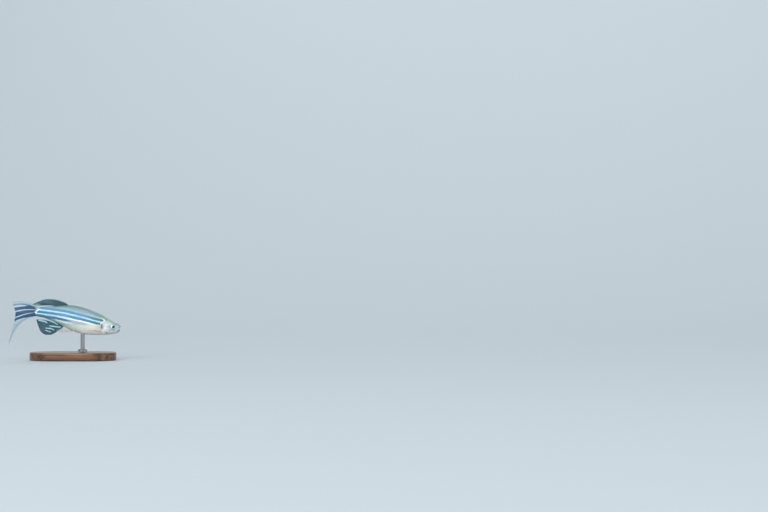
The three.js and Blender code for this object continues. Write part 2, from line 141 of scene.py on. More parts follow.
def through(rows, column, x):
    """A smooth curve through rows of numbers, the first of each row being its x."""
    last = len(rows) - 1
    row = lambda i: rows[min(last, max(0, i))]
    slope = lambda i: (row(i + 1)[column] - row(i - 1)[column]) / (row(i + 1)[0] - row(i - 1)[0])
    i = 0
    while i < last - 1 and x > rows[i + 1][0]:
        i += 1
    span = rows[i + 1][0] - rows[i][0]
    t = (x - rows[i][0]) / span
    level = lerp(rows[i][column], rows[i + 1][column], t * t * (3 - 2 * t))
    bend_in = (t**3 - 2 * t**2 + t) * span * slope(i)
    return level + bend_in + (t**3 - t**2) * span * slope(i + 1)


# %% [markdown]
# ## Small helpers for pieces
#
# Each finished mesh becomes an object at the origin that rides on the fish's one body. A shape
# that is repeated is modelled once as a template and stamped many times into one mesh, which
# costs far less than as many objects.

# %% Finish and stamp meshes


def mesh_of(bm, name):
    mesh = bpy.data.meshes.new(name)
    bm.to_mesh(mesh)
    bm.free()
    return mesh


def piece(name, bm, material, slot, *nodes):
    made = placed(name, mesh_of(bm, name))
    made.data.shade_smooth()
    made.data.materials.append(material)
    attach(made, "root")
    if nodes:
        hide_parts(*nodes)
    print(f"{name}: {len(made.data.vertices)} points, {len(made.data.polygons)} faces")


def stamp(bm, template):
    """Adds one copy of the template and returns its points."""
    before = len(bm.verts)
    bm.from_mesh(template)
    bm.verts.ensure_lookup_table()
    return bm.verts[before:]


# %% [markdown]
# ## The form of the body
#
# The body is told by a few sections: how high the back is, how deep the belly is and how wide
# the fish is at each place. They are the solids' own sections, with one more behind the last,
# where the flesh runs out thinly over the roots of the tail's rays. Between two sections the
# form follows a smooth curve, which grows with the square root of the place so that the snout
# comes out round.

# %% Sections of the body
SECTIONS = [  # place, back, belly, half width
    (0, 0, 0, 0), (0.012, 0.013, 0.036, 0.021), (0.04, 0.03, 0.07, 0.038),
    (0.09, 0.047, 0.091, 0.055), (0.15, 0.069, 0.11, 0.065), (0.22, 0.095, 0.127, 0.071),
    (0.3, 0.119, 0.142, 0.074), (0.4, 0.142, 0.153, 0.075), (0.5, 0.153, 0.15, 0.071),
    (0.6, 0.154, 0.13, 0.061), (0.7, 0.134, 0.096, 0.048), (0.8, 0.107, 0.065, 0.035),
    (0.9, 0.083, 0.052, 0.024), (1, 0.053, 0.05, 0.013), (1.04, 0.049, 0.049, 0.002),
]
FLESH_END = SECTIONS[-1][0]
BACK, BELLY, HALF_WIDTH = 1, 2, 3
ROOTED = [(sqrt(row[0]), *row[1:]) for row in SECTIONS]


@lru_cache(maxsize=None)
def section(column, place):
    return LENGTH * through(ROOTED, column, sqrt(max(0.0, place)))


def upright(place):
    """The middle and the half of the body's height, above the axis."""
    back, belly = section(BACK, place), section(BELLY, place)
    return (back - belly) / 2, (back + belly) / 2


def squareness(place, above):
    """2 is an ellipse. The head is flat on top and narrow in the jaws."""
    return lerp(2.5 if above else 1.8, 2.1, ramp(place, 0.1, 0.35))


def cover_swell(place, height):
    """How far the gill cover stands proud of the flank."""
    along = ramp(place, 0.15, 0.22) * (1 - ramp(place, 0.235, 0.262))
    return 0.14 * MM * along * (1 - ramp(abs(height / LENGTH + 0.02), 0.05, 0.09))


# %% Points of the body


def body_point(place, turn):
    """A point of the skin, in the fish's own axes. Turn 0 is the left flank and 90 degrees up."""
    centre, half = upright(place)
    power = 2 / squareness(place, sin(turn) > 0)
    rise = copysign(abs(sin(turn)) ** power, sin(turn))
    out = copysign(abs(cos(turn)) ** power, cos(turn))
    height = centre + rise * half
    swell = copysign(cover_swell(place, height), out)
    return Vector((-place * LENGTH, out * section(HALF_WIDTH, place) + swell, height))


def side_of(place, height):
    """Half the body's width at a height above the axis."""
    centre, half = upright(place)
    power = squareness(place, height > centre)
    reach = min(1.0, abs(height - centre) / half)
    width = section(HALF_WIDTH, place) * (1 - reach**power) ** (1 / power)
    return width + cover_swell(place, height)


def underside(place, side):
    """The belly's height a little to one side of the keel."""
    centre, half = upright(place)
    power = squareness(place, False)
    reach = min(1.0, abs(side) / section(HALF_WIDTH, place))
    return centre - half * (1 - reach**power) ** (1 / power)


# %% Seat a mesh in the world
SWAY, SWAY_START = 0.8 * MM, 0.45


def seat(bm):
    """Swings the tail to the fish's left, and then sets the mesh in the world."""
    for vert in bm.verts:
        behind = max(0.0, -vert.co.x / LENGTH - SWAY_START) / (1 - SWAY_START)
        vert.co.y += SWAY * behind**2
    bmesh.ops.transform(bm, matrix=SEAT, verts=bm.verts)


print("widest place:", round(2 * section(HALF_WIDTH, 0.4) / MM, 2), "mm")

# %% [markdown]
# ## Small helpers for finishes
#
# A living surface is a stack of simple layers: a ground colour, stripes, patches, freckles and a
# sheen. Each layer takes a few nodes, and most of those only add or multiply. So a node's output
# is wrapped as a flow: plain sums with flows add the nodes for them, and a finish reads like a
# recipe.

# %% Flows


class Flow:
    """An output of a node. Sums with it add the nodes that work them out."""

    def __init__(self, output):
        self.output = output

    __add__ = lambda a, b: maths("ADD", a, b)
    __sub__ = lambda a, b: maths("SUBTRACT", a, b)
    __mul__ = lambda a, b: maths("MULTIPLY", a, b)
    __truediv__ = lambda a, b: maths("DIVIDE", a, b)
    __abs__ = lambda a: maths("ABSOLUTE", a)


def rgb(code):
    """A colour as it looks on screen, written as six hex digits, in the renderer's light units."""
    shares = [int(code[i : i + 2], 16) / 255 for i in (0, 2, 4)]
    return (*[x / 12.92 if x <= 0.04045 else ((x + 0.055) / 1.055) ** 2.4 for x in shares], 1)


def feed(socket, value):
    """Gives a socket a flow, a number, a vector or the code of a colour."""
    if isinstance(value, Flow):
        socket.id_data.links.new(value.output, socket)
    else:
        socket.default_value = rgb(value) if isinstance(value, str) else value


def node(kind, inputs, tree=None, **settings):
    """Adds a node to the tree, or else beside the flows that it is fed with."""
    if tree is None:
        tree = next(value.output.id_data for value in inputs.values() if isinstance(value, Flow))
    made = tree.nodes.new("ShaderNode" + kind)
    for name, value in settings.items():
        setattr(made, name, value)
    for key, value in inputs.items():
        feed(made.inputs[key], value)
    return made


def flow(kind, inputs, key=0, tree=None, **settings):
    """Adds a node and hands back one of its outputs."""
    return Flow(node(kind, inputs, tree, **settings).outputs[key])


def maths(operation, a, b=0.0, clamp=False):
    return flow("Math", {0: a, 1: b}, operation=operation, use_clamp=clamp)


# %% Ramps, mixes and curves of flows
LIFT = 0.5  # keeps the curves above 0


def fade(value, low, high):
    """0 below low and 1 above high, with a soft change between."""
    ends = {"Value": value, "From Min": low, "From Max": high}
    return flow("MapRange", ends, interpolation_type="SMOOTHSTEP")


def scaled(value, low, high):
    """A 0 to 1 value laid over another range."""
    return flow("MapRange", {"Value": value, "To Min": low, "To Max": high})


def mix(share, under, over, way="MIX"):
    return flow("Mix", {0: share, 6: under, 7: over}, 2, data_type="RGBA", blend_type=way)


def course(value, rows):
    """A smooth curve through rows of two numbers, the second told over the first."""
    made = node("FloatCurve", {"Value": value})
    made.mapping.use_clip = False
    curve = made.mapping.curves[0]
    points = [(x, y + LIFT) for x, y in rows]
    for x, y in points[:-2]:
        curve.points.new(x, y)
    for point, spot in zip(curve.points, points):
        point.location = spot
    made.mapping.update()
    return Flow(made.outputs[0]) - LIFT


# %% Colours, clouds and relief


def colours_along(value, stops):
    """Colours that follow one another along a value. Each stop is its value and its colour."""
    made = node("ValToRGB", {0: value})
    elements = made.color_ramp.elements
    elements.remove(elements[1])
    for i, (x, code) in enumerate(stops):
        stop = elements.new(x) if i else elements[0]
        stop.position = x
        stop.color = rgb(code)
    return Flow(made.outputs[0])


def mottle(vector, size, detail=2.0, rough=0.5, key=0):
    """Soft cloudy noise from 0 to 1, with blobs of about that size."""
    settings = {"Vector": vector, "Scale": 1 / size, "Detail": detail, "Roughness": rough}
    return flow("TexNoise", settings, key)


def relief(height, distance, strength=1.0, under=None):
    """A bump from a 0 to 1 height."""
    inputs = {"Height": height, "Distance": distance, "Strength": strength}
    if under is not None:
        inputs["Normal"] = under
    return flow("Bump", inputs)


# %% Materials


def kept(tree, name, key="Vector"):
    """A value that the mesh keeps at each of its points."""
    return flow("Attribute", {}, key, tree, attribute_name=name)


def parts(vector):
    return [Flow(output) for output in node("SeparateXYZ", {0: vector}).outputs]


def finish(name):
    """A new material and its node tree."""
    material = bpy.data.materials.new(name)
    material.use_nodes = True
    return material, material.node_tree


def join(material, **sockets):
    """Feeds the main shader's sockets, with _ for a space in a name."""
    shader = material.node_tree.nodes["Principled BSDF"]
    for name, value in sockets.items():
        feed(shader.inputs[name.replace("_", " ")], value)
    return material


# %% [markdown]
# ## The fish's axes in a finish
#
# The stripes must run along the fish, which hangs nose down, and both the skin and the scales
# must carry the same ones. They could follow a UV map, but the skin and the scales would need
# maps that agree to a hair. A Mapping node is simpler: it turns the world's coordinates back
# into the fish's own, as shares of its length.

# %% Read places and heights


def fish_axes(tree):
    """The place behind the snout, the side and the height, as shares of the fish's length, and
    the vector that holds them."""
    settings = {
        "Vector": flow("TexCoord", {}, "Object", tree),
        "Location": tipped.inverted() @ snout / -LENGTH,
        "Rotation": (0, -HEAD_DOWN, 0),
        "Scale": (1 / LENGTH,) * 3,
    }
    own = flow("Mapping", settings)
    forward, side, height = parts(own)
    return forward * -1, side, height, own


# %% [markdown]
# ## The markings
#
# A zebra danio's flank is silver with blue stripes, dark where pigment cells lie thick and pale
# violet where they thin out. Each stripe is a band along a course of places and heights, read
# off the photo, with its own half width. The back is olive, the belly cream, and the head
# silver with a green crown. The markings are one node group, so that the skin and the scales
# share them.

# %% Courses of the stripes: place, height, half width
UPPER_STRIPE = [
    (0.22, 0.043, 0.0125), (0.3, 0.046, 0.0145), (0.4, 0.056, 0.0135), (0.5, 0.063, 0.014),
    (0.6, 0.067, 0.014), (0.72, 0.069, 0.015), (0.85, 0.062, 0.013), (1, 0.051, 0.011),
]
MIDDLE_STRIPE = [
    (0.24, -0.001, 0.01), (0.3, 0.003, 0.0125), (0.38, 0.0105, 0.0135), (0.47, 0.0155, 0.014),
    (0.58, 0.02, 0.016), (0.69, 0.0255, 0.015), (0.78, 0.02, 0.014), (0.86, 0.0155, 0.013),
    (0.95, 0.0105, 0.013), (1, 0.0075, 0.012),
]
LOWER_STRIPE = [
    (0.42, -0.03, 0.01), (0.52, -0.032, 0.012), (0.6, -0.031, 0.012), (0.68, -0.029, 0.014),
    (0.8, -0.03, 0.014), (0.87, -0.037, 0.016), (1, -0.036, 0.016),
]
WHITE_LINE = [
    (0.24, -0.021, 0.005), (0.3, -0.025, 0.007), (0.37, -0.015, 0.009), (0.46, -0.0095, 0.009),
    (0.6, -0.006, 0.008), (0.7, -0.003, 0.007), (0.8, -0.005, 0.006), (1, -0.012, 0.006),
]
BELLY_LINE = [
    (0.56, -0.052, 0.006), (0.65, -0.055, 0.008), (0.73, -0.051, 0.007), (0.8, -0.044, 0.005),
]
BELLY_LINE_ENDS = (0.56, 0.77)
FIN_LINES = (0.0205, -0.0071)  # heights where the tail fin's pale stripes reach the flesh

# %% Courses of edges: place, height
BACK_EDGE = [
    (0.2, 0.066), (0.3, 0.071), (0.45, 0.084), (0.6, 0.094), (0.72, 0.096), (0.85, 0.087),
    (1, 0.07),
]
BELLY_EDGE = [
    (0.2, -0.034), (0.28, -0.038), (0.36, -0.032), (0.42, -0.042), (0.5, -0.048), (0.58, -0.056),
    (0.65, -0.064), (0.8, -0.058), (1, -0.07),
]
GILL_EDGE = [  # height, place
    (-0.135, 0.128), (-0.087, 0.178), (-0.055, 0.212), (-0.022, 0.238), (0.008, 0.243),
    (0.035, 0.222), (0.062, 0.208), (0.13, 0.197),
]
NOSTRILS = [((1.55, 0.64), 0.16, 0.12), ((2.02, 0.78), 0.21, 0.14)]  # back and out, radius, depth

# %% Bands and spots


def band(place, height, rows, soft=0.004):
    """1 within a stripe and 0 outside it."""
    off = abs(height - course(place, [row[:2] for row in rows]))
    return fade(off - course(place, [row[::2] for row in rows]), soft, -soft)


def between(value, start, end, soft):
    return fade(value, start - soft, start + soft) * fade(value, end + soft, end - soft)


def spot(place, height, at, size, soft):
    """1 in the middle of an oval spot, and 0 outside it."""
    across, along = (place - at[0]) / size[0], (height - at[1]) / size[1]
    return fade(maths("SQRT", across * across + along * along), 1.0, 1.0 - soft)


# %% Colours along the fish: place, colour
FLANK = [
    (0.25, "aacbd2"), (0.36, "a3dcee"), (0.48, "9eaed4"), (0.62, "abd6f2"), (0.8, "a4c4e6"),
    (1, "93c0d2"),
]
OLIVE_BACK = [(0.15, "7c9894"), (0.35, "86a3a8"), (0.55, "759192"), (0.8, "66878b")]
DULL_LINE = [(0.3, "93b3b8"), (0.45, "74979f"), (0.6, "62949f"), (0.8, "4887a0"), (1, "6e9dae")]
# The stop at 0.7 is darker: painted shade on the rear of the belly.
CREAM_BELLY = [(0.2, "d2cdb8"), (0.33, "f2eedb"), (0.5, "dbe4da"), (0.7, "a8bcb4")]
WHITES = [(0.25, "f4f8ea"), (0.36, "fcffff"), (0.65, "fcffff"), (0.76, "dcf9ff"), (0.95, "d3f8ff")]
UPPER_BLUES = [
    (0.24, "0a5063"), (0.36, "346d83"), (0.46, "5680a7"), (0.58, "157a94"), (0.72, "3a7da1"),
    (0.84, "2f708d"), (0.94, "447589"),
]
MIDDLE_BLUES = [
    (0.27, "317582"), (0.38, "3787a4"), (0.46, "3d8ca4"), (0.57, "3795ad"), (0.69, "6c9ac3"),
    (0.8, "5687a2"), (0.87, "2c8bbf"), (0.97, "34788d"),
]
LOWER_BLUES = [
    (0.45, "c5bfda"), (0.56, "b9c7d1"), (0.64, "4a829a"), (0.72, "36759d"), (0.82, "4e889f"),
    (0.88, "3d7793"), (0.95, "247d9b"),
]
STRIPES = [  # course, colours, where it starts, how softly, and strength
    (UPPER_STRIPE, UPPER_BLUES, 0.206, 0.008, 0.95),
    (MIDDLE_STRIPE, MIDDLE_BLUES, 0.242, 0.008, 1.0),
    (LOWER_STRIPE, LOWER_BLUES, 0.42, 0.04, 0.95),
]

# %% Paint the flank


def paint_flank(place, height):
    """The flank's colour, and where it is back, belly, dull line and dark stripe."""
    above = height - course(place, BACK_EDGE)
    on_back = fade(above, -0.012, 0.012)
    on_belly = fade(course(place, BELLY_EDGE) - height, -0.014, 0.014)
    flank, olive, cream, dull, white = (
        colours_along(place, stops)
        for stops in (FLANK, OLIVE_BACK, CREAM_BELLY, DULL_LINE, WHITES)
    )
    colour = mix(on_belly, mix(on_back, flank, olive), cream)
    # Painted light: the lower belly ahead of the middle is lightened towards white, where it lies in
    # shade.
    colour = mix(fade(height, -0.08, -0.125) * fade(place, 0.49, 0.41), colour, "ffffff")
    # The pale line under the back is duller than the others.
    under_back = between(above, -0.03, 0.0, 0.008)
    colour = mix(under_back * 0.9, colour, dull)
    white_line = band(place, height, WHITE_LINE) * fade(place, 0.22, 0.25)
    colour = mix(white_line * 0.95, colour, white)
    dark = 0.0
    for rows, blues, start, soft, strength in STRIPES:
        within = between(place, start, FLESH_END + 0.05, soft)
        shown = band(place, height, rows) * within * strength
        colour = mix(shown, colour, colours_along(place, blues))
        dark = maths("MAXIMUM", dark, shown)
    belly_line = band(place, height, BELLY_LINE) * between(place, *BELLY_LINE_ENDS, 0.02)
    return mix(belly_line, colour, "f2f8ff"), on_back, on_belly, under_back, dark


def paint_tail_root(colour, place, level):
    """The stripes end at a pale line, bent like the rear edge of the flesh."""
    bent = place + abs(level + 0.004) * 0.9
    behind = mix(fade(level, 0.032, 0.046), "1f5279", "86a9b5")
    for line in FIN_LINES:
        behind = mix(fade(abs(level - line), 0.004, 0.001), behind, "c3dcea")
    colour = mix(fade(bent, 1.025, 1.04), colour, behind)
    tail_line = between(bent, 1.01, 1.032, 0.008) * between(level, -0.024, 0.041, 0.006)
    return mix(tail_line * 0.85, colour, "e4f2ee")


# %% Colours of the head
CROWN, CHEEK, JAW, SNOUT_TIP = "809c98", "d9e0e1", "bccdd2", "82a0ad"
SPOTS = [  # where, how large, colour and strength
    # Painted light: a white oval brightens the lower white line where the flank turns down, away from
    # the light.
    ((0.345, -0.018), (0.06, 0.014), "ffffff", 0.65),
    # Painted highlights on the gill cover.
    ((0.178, -0.005), (0.03, 0.03), "f4f6f8", 0.6),
    ((0.176, -0.036), (0.026, 0.026), "ffffff", 0.7),
    ((0.228, 0.018), (0.022, 0.014), "fbf3fa", 0.8),
    ((0.15, -0.012), (0.024, 0.024), "a9adb2", 0.45),
    ((0.155, 0.04), (0.055, 0.03), "b2d4ba", 0.6),
    ((0.125, -0.01), (0.024, 0.03), "95a9aa", 0.7),
    ((0.223, -0.011), (0.024, 0.022), "5f6878", 0.8),
    ((0.217, -0.035), (0.026, 0.025), "8e5068", 0.8),
    ((0.206, -0.03), (0.012, 0.014), "e3c0cf", 0.6),
    # Painted highlight on the throat, which lies in shade; as a full white it also takes the silver
    # away.
    ((0.195, -0.08), (0.03, 0.04), "ffffff", 1.0),
    ((0.232, 0.064), (0.02, 0.01), "d4f4e8", 0.7),
    ((0.213, 0.056), (0.02, 0.013), "dcfff0", 0.9),
    ((0.202, 0.045), (0.015, 0.015), "e0fff2", 0.9),
    ((0.05, 0.014), (0.034, 0.018), "a9c6bf", 0.6),
    ((0.038, -0.022), (0.034, 0.014), "d3d8e6", 0.8),
    ((0.06, -0.045), (0.04, 0.022), "dde3ee", 0.8),
    ((0.006, -0.01), (0.024, 0.03), "eef2ff", 0.85),
    ((0.123, -0.054), (0.013, 0.014), "5f6b76", 0.7),
    ((0.157, -0.088), (0.02, 0.014), "6f8080", 0.6),
    # Painted shade: a darker ring round the eye socket.
    ((0.09, -0.012), (0.052, 0.052), "a7b7ba", 0.5),
]

# %% Paint the head


def paint_head(colour, place, height):
    """The head's own colours reach as far back as the gill opening."""
    gill = course(height + LIFT, [(h + LIFT, p) for h, p in GILL_EDGE])
    on_head = fade(gill - place, -0.004, 0.004)
    crown = fade(height - place * 0.2, -0.006, 0.024)
    face = mix(crown, CHEEK, CROWN)
    face = mix(fade(height + place * 0.35, -0.035, -0.06), face, JAW)
    face = mix(fade(place, 0.06, 0.03), face, SNOUT_TIP)
    return mix(on_head, colour, face), on_head, crown * on_head


def paint_spots(colour, place, side, level, height, own):
    """Blotches with torn edges, some of them painted highlights and painted shade, the nostrils'
    pits in painted shade, and where a full white, a painted highlight, hides the silver.
    """
    torn = scaled(mottle(own, 0.008, 4, 0.6), -0.015, 0.015)
    torn_place, torn_height = place + torn, height + torn
    matt = 0.0
    for at, size, code, strength in SPOTS:
        shown = spot(torn_place, torn_height, at, size, 0.8) * strength
        colour = mix(shown, colour, code)
        if strength == 1:
            matt = maths("MAXIMUM", matt, shown)
    for (back, off), radius, _ in NOSTRILS:
        at, size = (back * MM / LENGTH, off * MM / LENGTH), (radius * MM / LENGTH,) * 2
        # Painted shade in the nostrils' pits.
        pit_shade = spot(place, abs(side), at, size, 0.7) * fade(level, 0, 0.01)
        colour = mix(pit_shade * 0.75, colour, "2f3d3d")
    return colour, matt


def paint_freckles(colour, thick, dark, own):
    """Pigment cells show as fine dark freckles, thick on the back and crown."""
    wanted = thick * 0.5 + dark * 0.3 + 0.06
    freckled = fade(mottle(own, 0.0035, 3, 0.6), 0.53, 0.63)
    return mix(freckled * wanted * mottle(own, 0.03, 2), colour, "2b3835")


# %% Group the markings


def make_markings():
    """A node group that gives the colour at each place of the fish, and how silvery it is."""
    group = bpy.data.node_groups.new("markings", "ShaderNodeTree")
    group.interface.new_socket("Colour", in_out="OUTPUT", socket_type="NodeSocketColor")
    group.interface.new_socket("Silver", in_out="OUTPUT", socket_type="NodeSocketFloat")
    place, side, level, own = fish_axes(group)
    height = level + (mottle(own, 0.03, 3) - 0.5) * 0.012
    colour, on_back, on_belly, under_back, dark = paint_flank(place, height)
    colour = paint_tail_root(colour, place, level)
    colour, on_head, on_crown = paint_head(colour, place, height)
    colour, matt = paint_spots(colour, place, side, level, height, own)
    thick = maths("MAXIMUM", on_back, on_crown)
    colour = paint_freckles(colour, thick, dark, own)
    dulled = [(thick, 0.8), (dark, 0.6), (on_belly, 0.85), (on_head, 0.4), (under_back, 0.4)]
    silver = 1.0
    for where, share in (*dulled, (matt, 1.0)):
        silver = maths("SUBTRACT", silver, where * share, clamp=True)
    outputs = group.nodes.new("NodeGroupOutput")
    feed(outputs.inputs["Colour"], colour)
    feed(outputs.inputs["Silver"], silver)
    return group


MARKINGS = make_markings()
print("markings:", len(MARKINGS.nodes), "nodes")

# %% [markdown]
# ## The skin
#
# On the real fish the skin is one wet, shining surface from lips to tail. It could be glued
# together from a head and a trunk, but a seam would show. So it is one grid rolled into a tube,
# with its rings close together on the head. The small forms are then pushed in or out along
# the surface: the lips and the cleft between them, the nostrils, the eye sockets, and the gill
# cover with its edges.

# %% Sizes of the head's small forms
MOUTH_SLANT, MOUTH_DEPTH = radians(48), 1.35 * MM
EYE_OUT = 1.42 * MM
EYE_RADIUS, EYE_BULGE = 1.12 * MM, 0.76 * MM
EYE_UP, EYE_FORWARD = radians(11), radians(7)
COVER_FRONT = [(-0.083, 0.158), (-0.045, 0.153), (-0.002, 0.158), (0.036, 0.176), (0.052, 0.212)]


def eye_seat(sign):
    """Takes the eye's own axes, +Y looking out, to the fish's."""
    at = Matrix.Translation((-EYE_PLACE * LENGTH, sign * EYE_OUT, EYE_HEIGHT * LENGTH))
    turned = Matrix.Rotation(-sign * EYE_FORWARD, 4, "Z") @ Matrix.Rotation(sign * EYE_UP, 4, "X")
    return at @ turned @ Matrix.Diagonal((1, sign, 1, 1))


SOCKETS = [eye_seat(sign).inverted() for sign in SIDES.values()]

# %% How far the lips and nostrils stand out


def mouth_relief(back, height):
    """The lips, the cleft between them and the creases that set them off."""
    along = back * cos(MOUTH_SLANT) - height * sin(MOUTH_SLANT)
    off = back * sin(MOUTH_SLANT) + height * cos(MOUTH_SLANT)
    if along > 1.3 * MOUTH_DEPTH or abs(off) > MM:
        return 0.0
    short = 1 - ramp(along, 0.65 * MOUTH_DEPTH, MOUTH_DEPTH)
    lips = 0.1 * bump(abs(off) - 0.19 * MM, 0.12 * MM)
    crease = 0.05 * bump(abs(off) - 0.46 * MM, 0.1 * MM)
    cleft = 0.3 * bump(off, 0.045 * MM) * (1 - ramp(along, 0.85 * MOUTH_DEPTH, 1.1 * MOUTH_DEPTH))
    return MM * ((lips - crease) * short - cleft)


def nostril_relief(point):
    """Two openings on each side with a low rim, and a flap of skin between them."""
    total = 0.0
    for (back, out), radius, depth in NOSTRILS:
        off = hypot(-point.x / MM - back, abs(point.y) / MM - out)
        if point.z > 0 and off < 3 * radius:
            total += 0.03 * bump(off - 1.25 * radius, 0.07)
            total -= depth * (1 - ramp(off, 0.2 * radius, radius))
    return MM * total


# %% How far the gill covers and sockets do


@lru_cache(maxsize=None)
def edge_at(name, height):
    """The place of an edge that is told by height, and how slanted it is there."""
    rows = {"gill": GILL_EDGE, "cover": COVER_FRONT}[name]
    step = 0.004
    slope = (through(rows, 1, height + step) - through(rows, 1, height - step)) / (2 * step)
    return through(rows, 1, height), sqrt(1 + slope**2)


def cover_relief(place, height):
    """The gill cover's raised rear edge, the slit behind it, and the groove at its front."""
    total = 0.0
    gill, slant = edge_at("gill", round(height, 4))
    off = (place - gill) * LENGTH / MM / slant
    if abs(off) < 1.6:
        below_top = 1 - ramp(height, 0.055, 0.078)
        total += 0.1 * ramp(off, -1.5, -0.1) * (1 - ramp(off, -0.03, 0.06)) * below_top
        total -= 0.2 * bump(off - 0.14, 0.1) * below_top
    if COVER_FRONT[0][0] < height < COVER_FRONT[-1][0]:
        front, slant = edge_at("cover", round(height, 4))
        off = (place - front) * LENGTH / MM / slant
        ends = ramp(height, -0.083, -0.07) * (1 - ramp(height, 0.035, 0.05))
        total += (0.05 * bump(off - 0.16, 0.12) - 0.07 * bump(off, 0.07)) * ends
    return MM * total


def socket_push(point):
    """How far a point near an eye goes straight in, to leave room for the eyeball."""
    for socket in SOCKETS:
        near = socket @ point
        off = hypot(near.x, near.z)
        if near.y > -MM and off < 1.6 * EYE_RADIUS:
            rim = 0.05 * MM * bump(off - 1.06 * EYE_RADIUS, 0.09 * MM)
            sunk = 0.9 * MM * (1 - ramp(off, 0.78 * EYE_RADIUS, 0.98 * EYE_RADIUS))
            return socket.inverted().to_3x3() @ Vector((0, rim - sunk, 0))
    return None


# %% Roll the skin
FINE_RINGS, COARSE_RINGS, AROUND = 250, 90, 260
FINE_END = 0.3
RINGS = FINE_RINGS + COARSE_RINGS
SEAM = radians(-90)
ONE_POINT = 1e-4 * MM  # points nearer than this are one


def ring_place(i):
    if i <= FINE_RINGS:
        return FINE_END * (i / FINE_RINGS) ** 1.25
    return lerp(FINE_END, FLESH_END, (i - FINE_RINGS) / COARSE_RINGS)


def rolled_skin():
    bm = bmesh.new()
    bmesh.ops.create_grid(bm, x_segments=RINGS, y_segments=AROUND, size=0.5)
    for vert in bm.verts:
        i, j = round((vert.co.x + 0.5) * RINGS), round((vert.co.y + 0.5) * AROUND)
        vert.co = body_point(ring_place(i), SEAM + 2 * pi * j / AROUND)
    bmesh.ops.remove_doubles(bm, verts=bm.verts, dist=ONE_POINT)
    tail_rim = [edge for edge in bm.edges if edge.is_boundary]
    bmesh.ops.holes_fill(bm, edges=tail_rim, sides=0)
    bmesh.ops.recalc_face_normals(bm, faces=bm.faces)
    bm.normal_update()
    return bm


def sculpt_head(bm):
    pushes = []
    for vert in bm.verts:
        back, height = -vert.co.x, vert.co.z
        place = back / LENGTH
        if place > FINE_END:
            continue
        out = mouth_relief(back, height) + nostril_relief(vert.co)
        out += cover_relief(place, height / LENGTH)
        push = vert.normal * out
        socket = socket_push(vert.co)
        pushes.append((vert, push if socket is None else push * 0.2 + socket))
    for vert, push in pushes:
        vert.co += push


skin_bm = rolled_skin()
sculpt_head(skin_bm)
seat(skin_bm)

# %% [markdown]
# ## The skin's finish
#
# Fish skin is glossy because it is wet, and silvery because plates of crystal lie in it. A
# plain glossy shader looks like plastic, and a full metal looks like foil. So the markings say
# how much of the metal shows, a thin clear coat stands for the wet film, and a fine mottle
# breaks up the shine.

# %% Paint the skin


def wet_skin(name, film_rough, surface):
    """The markings under a wet film. Surface may change the colour, and gives the normal."""
    material, tree = finish(name)
    markings = node("Group", {}, tree, node_tree=MARKINGS)
    own = fish_axes(tree)[3]
    grain = mottle(own, 0.004, 3)
    colour = mix(0.12, Flow(markings.outputs["Colour"]), scaled(grain, 0.35, 1.3), "MULTIPLY")
    colour, normal = surface(tree, own, colour)
    return join(
        material,
        Base_Color=colour,
        Metallic=scaled(Flow(markings.outputs["Silver"]), 0.05, 0.42),
        Roughness=scaled(grain, 0.24, 0.42),
        Normal=normal,
        Coat_Weight=0.5,
        Coat_Roughness=film_rough,
        Coat_IOR=1.38,
    )


def bare(tree, own, colour):
    waves = relief(mottle(own, 0.02, 2), 0.06 * MM, 0.5)
    return colour, relief(mottle(own, 0.0028, 2), 0.02 * MM, 0.5, waves)


FLESH = ("head", "gill_cover_left", "gill_cover_right", "trunk", "tail_stalk")
piece("skin", skin_bm, wet_skin("wet_skin", 0.12, bare), "skin", *FLESH)

# %% [markdown]
# ## The scales
#
# A danio has some thirty scales along its flank, each a thin clear plate rooted in the skin at
# its front and free at its back, over the two behind it. A bump map could fake them, but their
# edges catch the light and show in the outline. So one plate is modelled, and stamped row by
# row: each row is set off half a scale, and the scales grow smaller towards the tail as the
# body does.

# %% Model one scale
SCALE_SIDES = 16


def scale_template():
    """A round plate in its own axes: root at x 0, free edge at x 1, across from y -1 to 1."""
    bm = bmesh.new()
    bmesh.ops.create_circle(bm, cap_ends=True, radius=1, segments=SCALE_SIDES)
    floor = bm.faces[:]
    raised = bmesh.ops.extrude_face_region(bm, geom=floor, use_keep_orig=True)["geom"]
    top = [item for item in raised if isinstance(item, bmesh.types.BMFace)]
    for vert in {vert for face in top for vert in face.verts}:
        vert.co.z = 1
    bmesh.ops.inset_region(bm, faces=top, thickness=0.4, use_even_offset=True)
    bmesh.ops.poke(bm, faces=top)
    bmesh.ops.recalc_face_normals(bm, faces=bm.faces)
    for edge in bm.edges:
        edge.smooth = edge.calc_face_angle() < 1
    for vert in bm.verts:
        vert.co.x = (vert.co.x + 1) / 2
    return mesh_of(bm, "one_scale")


ONE_SCALE = scale_template()
print("one scale:", len(ONE_SCALE.polygons), "faces")

# %% Even steps round the body


@lru_cache(maxsize=None)
def girth(place):
    """The turns of 121 points round the body, and how far round each lies, in metres."""
    turns = [SEAM + 2 * pi * i / 120 for i in range(121)]
    points = [body_point(place, turn) for turn in turns]
    lengths = [0.0]
    for a, b in zip(points, points[1:]):
        lengths.append(lengths[-1] + (b - a).length)
    return turns, lengths


def turn_at(place, share):
    turns, lengths = girth(place)
    target = (share % 1) * lengths[-1]
    i = next(i for i, reached in enumerate(lengths[1:]) if reached >= target)
    step = (target - lengths[i]) / (lengths[i + 1] - lengths[i])
    return lerp(turns[i], turns[i + 1], step)


def skin_at(place, turn):
    """A point of the skin and the way out of it."""
    step = 0.002
    along = body_point(place + step, turn) - body_point(place - step, turn)
    around = body_point(place, turn + 0.01) - body_point(place, turn - 0.01)
    return body_point(place, turn), around.cross(along).normalized()


